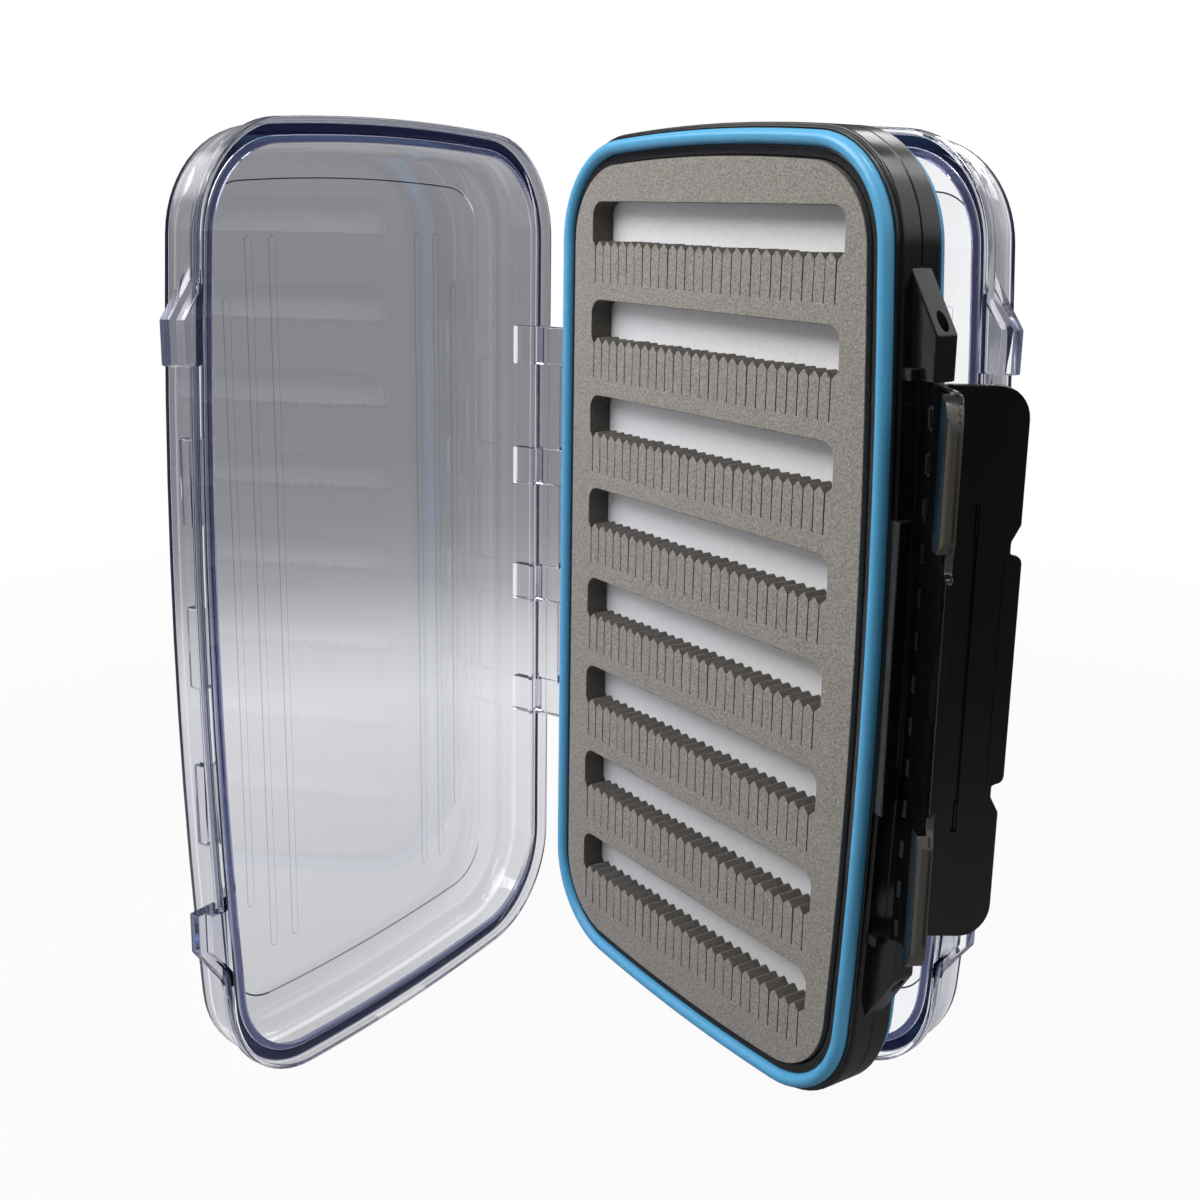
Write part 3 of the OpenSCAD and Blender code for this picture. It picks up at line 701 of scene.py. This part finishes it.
# %% One tooth, and the tree that sets out the comb
def one_tooth():
    """A tooth whose slits end at the origin's height, pointed at the top with sloping shoulders."""
    half = TOOTH_PITCH / 2 - SLIT_W / 2
    left = [(-half, -SLIT_D - 0.25), (-half, -NOTCH), (-SHOULDER, -0.06), (-TIP_HALF, TIP_RISE)]
    side = left + [(-x, z) for x, z in reversed(left)]
    points = [(x, z - MID_Z + SLIT_D) for x, z in side]
    tooth = extruded("teeth", points, FOAM_BACK + 0.02, FOAM_FACE - 0.01)
    soften(tooth, 0.1, steps=2, angle=60)
    return tooth


def build_comb():
    """Copies of a tooth in rows and columns, each with a random lean and size."""
    group, inner, outer = geometry_group(
        "comb_of_teeth", Columns="Int", Rows="Int", Pitch="Float", Row_Pitch="Float", Start="Vector",
        Lean="Float", Seed="Int")
    column, lines = nodes(group, "GeometryNodeMeshLine", "GeometryNodeMeshLine")
    grid, spread = nodes(group, "GeometryNodeInstanceOnPoints", "GeometryNodeInstanceOnPoints")
    flat = node(group, "GeometryNodeRealizeInstances")
    step, rise, tilt = nodes(group, "CombineXYZ", "CombineXYZ", "CombineXYZ")
    down, less = maths(group, "MULTIPLY", None, -1.0), maths(group, "MULTIPLY", None, -1.0)
    lean = node(group, "FunctionNodeRandomValue", data_type="FLOAT")
    size = node(group, "FunctionNodeRandomValue", data_type="FLOAT_VECTOR")
    filled(size, Min=(0.965, 0.995, 0.985), Max=(1.0, 1.0, 1.015))
    wire(group, (inner, "Columns", "Count", column, "Mesh", "Instance", grid, "Instances",
          "Geometry", flat, "Geometry", "Points", spread),
         (inner, "Pitch", "X", step, "Vector", "Offset", column),
         (inner, "Start", "Start Location", column),
         (inner, "Rows", "Count", lines, "Mesh", "Points", grid),
         (inner, "Row Pitch", 0, down, 0, "Z", rise, "Vector", "Offset", lines),
         (inner, "Geometry", "Instance", spread),
         (inner, "Lean", 0, less, 0, 2, lean, 1, "Y", tilt, "Vector", "Rotation", spread),
         (inner, "Lean", 3, lean), (inner, "Seed", "Seed", lean),
         (inner, "Seed", "Seed", size, "Value", "Scale", spread))
    return end_tree(group, inner, outer, spread, "Instances")


COMB = build_comb()
start = (MM * (FIRST_SLIT + TOOTH_PITCH / 2), 0.0, MM * (TOP_TIPS - SLIT_D))
teeth = run_tree(one_tooth(), COMB, Columns=TOOTH_N, Rows=ROW_N, Pitch=TOOTH_PITCH * MM,
                 Row_Pitch=ROW_PITCH * MM, Start=start, Lean=radians(0.7), Seed=7, Material=FOAM)
front_foam = joined("front_foam_grey", [front_foam, teeth])
rear_foam = on_rear(in_scene("rear_foam_grey", front_foam.data.copy()))


def two_sided_foam(sheet):
    """Give the flat faces the skin material and everything that the die cut the darker one, which paints
    shade into the windows and slits.
    """
    finish_surface(sheet, FOAM, angle=40)
    sheet.data.materials.append(FOAM_CUT_SHADE)
    for face in sheet.data.polygons:
        face.material_index = 0 if abs(face.normal.y) > 0.75 else 1


two_sided_foam(front_foam)
two_sided_foam(rear_foam)

# %% [markdown]
# ## Lids
# A lid is a shallow tray: a flange round its mouth, a wall, and a roof with a slightly raised
# panel and six long grooves. Its skin is one open cross-section swept round the outline and
# closed by two flat faces. The hinge skirt, the knuckles with their blocks, the lugs and the
# ridges that the latches grip are joined to it. Then the recess of the rim, where the gasket
# presses, and the grooves are cut.

# %% Shell, grooves and lugs of a lid
SKIRT_X, ARM_X = -53.7, -52.2
RIDGES = ((-38.1, -22.3), (-7.6, 7.6), (22.3, 38.1))
FRONT_OPEN, REAR_OPEN = 67.2, 5.3
FLANGE_LOW, FLANGE_TOP, PANEL = 6.4, 9.0, 20.0
ROOF, CEILING, PANEL_IN = 19.6, 17.7, 11.3
WALL_OUT_IN, WALL_IN_IN = 1.3, 3.2
RIM_IN, LEDGE_IN, LEDGE_D = 0.9, 4.7, 7.7
GROOVE_HALF, GROOVE_D, GROOVE_SLOPE = 0.95, 0.12, 0.2
GROOVES_X, GROOVES = 0.2, ((33.1, 61.2), (27.2, 72.2), (21.1, 72.2))


def lid_shell(name):
    """The tray, from its panel over the roof and round the flange to the ceiling inside."""
    outer = [(PANEL_IN, PANEL, 0.2), (PANEL_IN - 0.3, ROOF, 0.15), (5.3, ROOF, 1.4), (2.5, 18.2, 1.5),
             (WALL_OUT_IN, 15.5, 1.4), (WALL_OUT_IN, FLANGE_TOP, 0.4), (0, FLANGE_TOP, 0.5)]
    rim = [(0, FLANGE_LOW, 0.3), (RIM_IN, FLANGE_LOW, 0.15), (RIM_IN, LEDGE_D, 0.1), (2.9, LEDGE_D, 0),
           (3.1, LEDGE_D, 0), (LEDGE_IN, LEDGE_D, 0.35), (LEDGE_IN, FLANGE_TOP, 0.35)]
    inner = [(WALL_IN_IN, FLANGE_TOP + 0.2, 0.3), (WALL_IN_IN, 9.8, 0), (WALL_IN_IN, CEILING, 3.4),
             (PANEL_IN, CEILING, 0)]
    points = [(13.0, PANEL)] + rounded(outer + rim + inner, closed=False, steps=6)
    return swept_ring(name, points, outline, closed=False)


def stadium(x, reach, half):
    """A long slot with round ends."""
    return (arc((x, reach - half), half, 0, pi, 10)
            + arc((x, half - reach), half, pi, 2 * pi, 10))


def groove(x, reach):
    """A shallow slot in the panel, whose sides slope so that its edges show as thin lines."""
    loops = [[(px, -depth, pz + MID_Z) for px, pz in stadium(x, reach + wider, GROOVE_HALF + wider)]
             for depth, wider in ((PANEL - GROOVE_D, -GROOVE_SLOPE), (PANEL + GROOVE_D, GROOVE_SLOPE))]
    return new_piece("groove", loops[0] + loops[1], prism_faces(len(loops[0])))


def lid_lug_part(out_x, low, high):
    root_x, slope = 49.0, 1.35
    points = [(root_x, LUG_BEND + slope * (out_x - root_x)), (out_x, LUG_BEND), (out_x, LUG_LOW),
              (root_x, LUG_LOW)]
    return extruded("lid_lug", points, low, high, bevel=0.35)


def lid_lug():
    """A stepped lug, which starts level with the flange and stands out further beyond it."""
    return combined(lid_lug_part(54.4, FLANGE_LOW, 8.8), "UNION", lid_lug_part(55.9, 8.4, 11.0))


def lid_knuckle():
    """A knuckle with the block that stands on the flange behind it."""
    unit = knuckle("lid_knuckle", (-54.5, ARM_X), (0, FLANGE_TOP - 0.02), 1.26)
    foot = block("foot", (-54.1, -50.7), (FLANGE_LOW, 15.5), LOWEST_SLOT, bevel=0.35)
    return combined(unit, "UNION", foot)


def lid(name, first):
    """A closed lid on the front, whose knuckles start at the given slot."""
    low = first * KNUCKLE_PITCH - HINGE_HALF
    high = low + (LID_KNUCKLES - 1) * 3 * KNUCKLE_PITCH + KNUCKLE_LEN
    knuckles = lid_knuckle()
    knuckles.data.transform(Matrix.Translation((0, 0, first * KNUCKLE_PITCH * MM)))
    row_of(knuckles, LID_KNUCKLES, 3 * KNUCKLE_PITCH, CLEAR)
    skirt = block("skirt", (SKIRT_X, ARM_X), (3.2, FLANGE_TOP - 0.04),
                  (low + 0.05, high - 0.05), bevel=0.25)
    shelf = block("shelf", (SKIRT_X + 0.05, -50.5), (FLANGE_LOW + 0.03, FLANGE_TOP - 0.06),
                  (low + 0.1, high - 0.1), bevel=0)
    lug = lid_lug()
    lugs = [lug, upside_down(lug, "lug")]
    ridges = [block("ridge", (50.6, HALF_W), (8.5, 11.2), z, bevel=0.4) for z in RIDGES]
    shell = lid_shell(name)
    combined(shell, "UNION", skirt, shelf, knuckles, *lugs, *ridges)
    rim_recess = extruded("rim_recess", outline(RIM_IN + 0.05), -1, LEDGE_D - 0.02)
    grooves = [groove(GROOVES_X + side * x, reach) for side in (1, -1) for x, reach in GROOVES]
    combined(shell, "DIFFERENCE", rim_recess, *grooves)
    tidy(shell)
    return shell


front_lid = lid("front_lid_clear", 2)
rear_lid = lid("rear_lid_clear", 1)
print("Lids:", len(front_lid.data.polygons), len(rear_lid.data.polygons), "faces")


# %% Rim attribute and places of the lids
def inside(loop, x, z):
    """Whether a point lies inside a closed loop."""
    crossings = 0
    for (x1, z1), (x2, z2) in zip(loop, loop[1:] + loop[:1]):
        if (z1 > z) != (z2 > z) and x < x1 + (z - z1) * (x2 - x1) / (z2 - z1):
            crossings += 1
    return crossings % 2 == 1


def closed_place(point):
    """A point's X, depth and height about mid height, in millimetres."""
    return point.x / MM, -point.y / MM, point.z / MM - MID_Z


def mark_painted_shade(shell):
    """Set rim, a painted indigo shade, on the ledge in the flange but not by the hinge, and painted shade
    on the sides of grooves.
    """
    rim = shell.data.attributes.new("rim", "FLOAT", "POINT")
    edge, panel = outline(3.0), outline(PANEL_IN + 1.2)
    ledge_low, ledge_top = LEDGE_D - 0.2, FLANGE_TOP + 0.6
    fade_start, fade_length = -48, 4
    for vertex, mark in zip(shell.data.vertices, rim.data):
        x, depth, z = closed_place(vertex.co)
        # Painted indigo shade on the ledge, fading out towards the hinge.
        if ledge_low < depth < ledge_top and inside(edge, x, z):
            mark.value = min(1.0, max(0.0, (x - fade_start) / fade_length))
    # Painted shade on the sloping sides of the grooves, which shows as thin dark lines.
    groove_shade = shell.data.attributes.new("groove_shade", "FLOAT", "FACE")
    for face, mark in zip(shell.data.polygons, groove_shade.data):
        x, depth, z = closed_place(face.center)
        if 0.1 * GROOVE_D < PANEL - depth < 0.9 * GROOVE_D and inside(panel, x, z):
            mark.value = 1.0


for shell in (front_lid, rear_lid):
    mark_painted_shade(shell)
    finish_surface(shell, CLEAR, angle=38)
turned(front_lid, HINGE_X, -FRONT_OPEN)
on_rear(turned(rear_lid, HINGE_X, -REAR_OPEN))

# %% [markdown]
# ## Latches
# A latch is a long black plate that turns about a pin through its knuckles. Beyond the
# plate's middle it bends a little, its edge has a thumb tab with a notch at each end, and
# hooks near both ends snap over the ridges of the lid. It is made from a section seen along
# the pin, cut by a silhouette seen from the side.

# %% Latch plate, hooks and knuckles
LATCH_HALF, LATCH_REACH, LATCH_CORNER, LATCH_BEND = 50.5, 16.0, 6.0, 12.5
TAB_HALF, TAB_REACH, TAB_CORNER, NOTCH_LEN, NOTCH_REACH = 21.0, 16.6, 1.5, 5.4, 14.4
LATCH_KNUCKLES, LATCH_KNUCKLE_LEN = 13, 3.56
HOOK_LOW = 24.4
SLOT_PITCH = (2 * LATCH_HALF + 0.3) / (2 * LATCH_KNUCKLES)
FRONT_LATCH_OPEN, REAR_LATCH_OPEN = 60, 34


def silhouette():
    """The plate's reach from the pin against height, as a thick slab to cut sections with."""
    notch = TAB_HALF + NOTCH_LEN
    corner = (LATCH_REACH - LATCH_CORNER, LATCH_HALF - LATCH_CORNER)
    tab_corner = (TAB_REACH - TAB_CORNER, TAB_HALF - TAB_CORNER)
    half = ([(-3, LATCH_HALF)] + arc(corner, LATCH_CORNER, pi / 2, 0, 8)
            + [(LATCH_REACH, notch), (NOTCH_REACH, notch - 3), (NOTCH_REACH, TAB_HALF + 0.3)]
            + arc(tab_corner, TAB_CORNER, pi / 2, 0, 4))
    loop = half + [(s, -z) for s, z in reversed(half)]
    points = [(LATCH_X + x, -s, MID_Z + z) for x in (-6, 4) for s, z in loop]
    return new_piece("silhouette", points, prism_faces(len(loop)))


def latch_part(name, section, z=(-LATCH_HALF - 1, LATCH_HALF + 1), bevel=0.3):
    """A section of (reach, depth) carried along the pin and cut by the silhouette."""
    part = extruded(name, [(LATCH_X - d, -s) for s, d in section], z[0], z[1], along="height")
    combined(part, "INTERSECT", silhouette())
    tidy(part)
    soften(part, bevel, steps=2, angle=28)
    return part


def latch(name, own):
    """A closed latch on the front, with its knuckles in the slots own, own + 2 and so on."""
    plate = latch_part(name, [(1.3, -0.5), (LATCH_BEND, -0.5), (TAB_REACH, 0.3), (TAB_REACH, 1.6),
                              (LATCH_BEND, 1.1), (1.3, 1.1)])
    slot = block("slot", (LATCH_X - 0.5, LATCH_X + 3), (7.3, 8.5), (-30, 30), bevel=0)
    line = block("line", (LATCH_X + 0.15, LATCH_X + 3), (13.0, 13.35), (-TAB_HALF, TAB_HALF), bevel=0)
    combined(plate, "DIFFERENCE", slot, line)
    hook = latch_part("hook", [(8.0, 0), (LATCH_BEND, 0), (LATCH_REACH, 0.3), (LATCH_REACH, 2.2),
                               (15.2, 2.9), (11.5, 2.9), (11.5, 1.6), (9.5, 1.6)],
                      z=(HOOK_LOW, LATCH_HALF + 1))
    low = -LATCH_HALF + own * SLOT_PITCH
    z = (low, low + LATCH_KNUCKLE_LEN)
    barrel = rod("latch_knuckle", LATCH_X, 1.75, z, bevel=0.25, steps=28)
    arm_points = [(LATCH_X + x, -s) for x, s in ((0.5, 0), (0.5, 2.8), (-1.1, 2.8), (-1.7, 0))]
    arm = extruded("arm", arm_points, z[0], z[1], along="height", bevel=0.2)
    combined(barrel, "UNION", arm)
    bored(barrel, LATCH_X, 1.06, z)
    row_of(barrel, LATCH_KNUCKLES, 2 * SLOT_PITCH, LATCH_BLACK)
    return joined(name, [plate, hook, upside_down(hook, "lower_hook"), barrel])


front_latch = turned(latch("front_latch_black", 1), LATCH_X, FRONT_LATCH_OPEN)
rear_latch = on_rear(turned(latch("rear_latch_black", 0), LATCH_X, REAR_LATCH_OPEN))


def matt_edge_painted_sheen(plate, reach_way):
    """Give the tip's narrow faces beside the tab, which point away from the pin, a duller finish with a
    pale painted sheen.
    """
    plate.data.materials.append(LATCH_EDGE_SHEEN)
    for face in plate.data.polygons:
        beside_tab = abs(face.center.z - MID_Z * MM) > TAB_HALF * MM
        at_tip = (face.center - PIN).dot(reach_way) > (LATCH_REACH - 2) * MM
        if beside_tab and at_tip and face.normal.dot(reach_way) > 0.6:
            face.material_index = 1


PIN = Vector((LATCH_X * MM, 0, 0))
for plate, degrees in ((front_latch, FRONT_LATCH_OPEN - 90), (rear_latch, 90 - REAR_LATCH_OPEN)):
    finish_surface(plate, LATCH_BLACK)
    angle = radians(degrees)
    matt_edge_painted_sheen(plate, Vector((cos(angle), sin(angle), 0)))

# %% [markdown]
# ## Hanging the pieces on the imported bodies
# The clear lids and the latches move, and everything else belongs to the box. The white
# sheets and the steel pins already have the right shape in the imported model, so they stay
# and only get their finish.

# %% Bodies, replaced nodes and slots
MADE = [(centre_frame, "box", "centre_frame", "frame_black"),
        (front_gasket, "box", "front_gasket", "gasket_blue"),
        (rear_gasket, "box", "rear_gasket", "gasket_blue"),
        (front_foam, "box", "front_foam", "foam_grey"),
        (rear_foam, "box", "rear_foam", "foam_grey"),
        (front_lid, "front_lid", "front_lid", "lid_clear"),
        (rear_lid, "rear_lid", "rear_lid", "lid_clear"),
        (front_latch, "front_latch", "front_latch", "latch_black"),
        (rear_latch, "rear_latch", "rear_latch", "latch_black")]
for piece, body, cad_node, slot_name in MADE:
    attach(piece, body)
    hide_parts(cad_node)
KEPT = {"front_backing": WHITE, "rear_backing": WHITE, "hinge_pin": STEEL, "latch_pin": STEEL}
for name, material in KEPT.items():
    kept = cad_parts[name]
    kept.data.materials.clear()
    kept.data.materials.append(material)
print("Pieces made:", len(MADE), "and kept:", len(KEPT))

# %% [markdown]
# ## Studio
# The box stands on a pale floor in a soft studio. The camera sees white all round. What shows
# through the clear lids is a broad grey card behind the left lid, paler towards the floor,
# with a second card beyond a white gap, and glossy surfaces see a soft sky.

# %% World
CARD_SHADES = [(0.0, 200), (0.18, 215), (0.3, 228), (0.36, 208), (0.42, 166), (0.48, 146), (0.55, 138),
               (0.75, 136), (0.88, 142), (1.0, 160)]  # place from low to high, shade from 0 to 255
WHITE_GAP = [(0.0, 1.0), (0.25, 1.0), (0.31, 0.25), (0.6, 0.25), (0.68, 1.0), (1.0, 1.0)]
# Ranges of a direction that are carried onto 0 to 1, or onto the two strengths that follow
CARD_HEIGHT, CARD_WIDTH, BESIDE_CARD = (-0.5, 0.1), (-1.0, 1.0), (-0.82, -0.66)
SKY, ROOM = (0.1, 0.9, 0.04, 0.4), (-0.2, 0.6, 0.2, 0.8)
DEEP_RAY = 3.5  # rays that pass more surfaces than this don't see the white gap
# Direction, cosines of the rim and the core, strength
WINDOWS = [((0.45, 0.7, 0.55), 0.84, 0.97, 1.1), ((-0.64, -0.5, 0.58), 0.93, 0.985, 3.5)]


def shade_ramp(tree, shades):
    """A colour ramp with a stop for each place and colour, the first at 0 and the last at 1."""
    ramp = node(tree, "ValToRGB")
    for spot, colour in shades[1:-1]:
        ramp.color_ramp.elements.new(spot)
    for stop, (spot, colour) in zip(ramp.color_ramp.elements, shades):
        stop.position, stop.color = spot, (*colour, 1)
    return ramp


def build_world():
    world = bpy.data.worlds.new("studio")
    bpy.context.scene.world = world
    world.use_nodes = True
    tree = world.node_tree
    back = tree.nodes["Background"]
    light, where, parts = nodes(tree, "LightPath", "TexCoord", "SeparateXYZ")
    card = shade_ramp(tree, [(spot, linear(grey, grey, grey + 2)) for spot, grey in CARD_SHADES])
    gap = shade_ramp(tree, [(spot, (share, share, share)) for spot, share in WHITE_GAP])
    rise, across = carried(tree, *CARD_HEIGHT), carried(tree, *CARD_WIDTH)
    aside = carried(tree, *BESIDE_CARD, smooth=True)
    shallow = maths(tree, "LESS_THAN", None, DEEP_RAY)
    in_gap, plain = maths(tree, "MULTIPLY"), maths(tree, "MULTIPLY")
    seen, sky, room = mix(tree, B=(1, 1, 1, 1)), carried(tree, *SKY), carried(tree, *ROOM)
    glow = (sky, "Result")
    for direction, rim, core, strength in WINDOWS:
        towards = node(tree, "VectorMath", operation="DOT_PRODUCT")
        towards.inputs[1].default_value = direction
        window, more = carried(tree, rim, core, high=strength, smooth=True), maths(tree, "ADD")
        wire(tree, (where, "Generated", 0, towards, "Value", "Value", window, "Result", 1, more),
             (*glow, 0, more))
        glow = (more, 0)
    lit, sky_colour = mix(tree, "FLOAT"), node(tree, "CombineColor")
    through, camera = mix(tree), mix(tree, B=(1, 1, 1, 1))
    wire(tree, (where, "Generated", "Vector", parts, "Z", "Value", rise, "Result", "Fac", card, "Color",
          "A", seen, "Result", "B", through, "Result", "A", camera, "Result", "Color", back),
         (parts, "X", "Value", aside, "Result", 0, in_gap, 0, 1, plain, 0, "Factor", seen),
         (parts, "X", "Value", across, "Result", "Fac", gap, "Color", 1, in_gap),
         (light, "Transmission Depth", 0, shallow, 0, 0, plain), (parts, "Z", "Value", sky),
         (parts, "Y", "Value", room, "Result", "B", lit), (light, "Is Diffuse Ray", "Factor", lit),
         (*glow, "A", lit), (light, "Is Transmission Ray", "Factor", through),
         (sky_colour, "Color", "A", through), (light, "Is Camera Ray", "Factor", camera),
         *[(lit, "Result", i, sky_colour) for i in range(3)])
    return world


world = build_world()
print("World:", world.name)


# %% Floor
FLOOR_HALF = 6.0
# Near and far distance from the box in metres, with the value at each
FLOOR_GREY, FLOOR_GLOW = (0.13, 0.34, 0.26, 0.08), (0.15, 0.6, 0.95, 1.0)


def build_floor():
    mesh = bpy.data.meshes.new("floor")
    corners = [(-1, -1), (1, -1), (1, 1), (-1, 1)]
    mesh.from_pydata([(FLOOR_HALF * x, FLOOR_HALF * y, 0) for x, y in corners], [], [(0, 1, 2, 3)])
    floor = in_scene("floor", mesh)
    material, tree, surface, output = new_material("floor_paper")
    filled(surface, Roughness=0.9)
    far = node(tree, "VectorMath", operation="LENGTH")
    where, light, grey = nodes(tree, "TexCoord", "LightPath", "CombineColor")
    shade = carried(tree, *FLOOR_GREY, smooth=True)
    fade, part = carried(tree, *FLOOR_GLOW, smooth=True), maths(tree, "MULTIPLY")
    glow, clear, lit, passed = nodes(tree, "Emission", "BsdfTransparent", "MixShader", "MixShader")
    wire(tree, (where, "Object", 0, far, "Value", "Value", shade),
         (far, "Value", "Value", fade, "Result", 1, part, 0, "Fac", lit, "Shader", 1, passed, "Shader",
          "Surface", output), (grey, "Color", "Base Color", surface, "BSDF", 1, lit),
         (light, "Is Camera Ray", 0, part), (glow, "Emission", 2, lit),
         (light, "Is Transmission Ray", "Fac", passed), (clear, "BSDF", 2, passed),
         *[(shade, "Result", i, grey) for i in range(3)])
    floor.data.materials.append(material)
    return floor


floor = build_floor()
print("Floor:", floor.name)


# %% Lamps
CENTRE = Vector((0.0, 0.0, 0.09))
# Place, diameter and power
LAMPS = {"key_above": ((-0.08, -0.32, 0.5), 0.4, 2.4),
         "side_soft": ((0.9, -0.1, 0.55), 0.5, 0.8),
         "back_left": ((-0.37, 0.76, 0.7), 0.35, 1.0),
         "back_right": ((0.09, 0.72, 0.8), 0.3, 0.6),
         "overhead": ((0.16, 0.06, 0.85), 0.14, 1.1)}
for name, (place, size, power) in LAMPS.items():
    lamp = bpy.data.lights.new(name, "AREA")
    lamp.shape, lamp.size, lamp.energy = "DISK", size, power
    holder = in_scene(name, lamp)
    holder.location = place
    holder.rotation_euler = (CENTRE - Vector(place)).to_track_quat("-Z", "Y").to_euler()
print("Lamps:", len(bpy.data.lights))

# %% [markdown]
# ## Camera
# The camera stands at the latch side, just below the height of the box's top. It looks a
# little down and is rolled by less than a degree. Its place and lens were fitted to the
# corners of the frame and the rows of foam.

# %% Camera
AZIMUTH, TILT, ROLL = radians(55.97), radians(13.2), radians(0.93)
CAMERA_AT = Vector((0.22901, -0.18569, 0.17309))
SENSOR, FOCAL_PX, PHOTO_PX = 36.0, 1479.43, 1200
lens = bpy.data.cameras.new("camera")
lens.sensor_width, lens.lens = SENSOR, SENSOR * FOCAL_PX / PHOTO_PX
lens.shift_x, lens.shift_y = 0.0014, -0.0412
lens.clip_start, lens.clip_end = 0.01, 20.0
camera = in_scene("camera", lens)
aim = Matrix.Rotation(AZIMUTH, 4, "Z") @ Matrix.Rotation(pi / 2 - TILT, 4, "X")
camera.matrix_world = Matrix.Translation(CAMERA_AT) @ aim @ Matrix.Rotation(ROLL, 4, "Z")
bpy.context.scene.camera = camera
bpy.context.scene.view_settings.view_transform = "Standard"
cycles = bpy.context.scene.cycles
cycles.max_bounces, cycles.transmission_bounces, cycles.transparent_max_bounces = 22, 22, 16
print("Camera:", [round(c, 3) for c in CAMERA_AT])
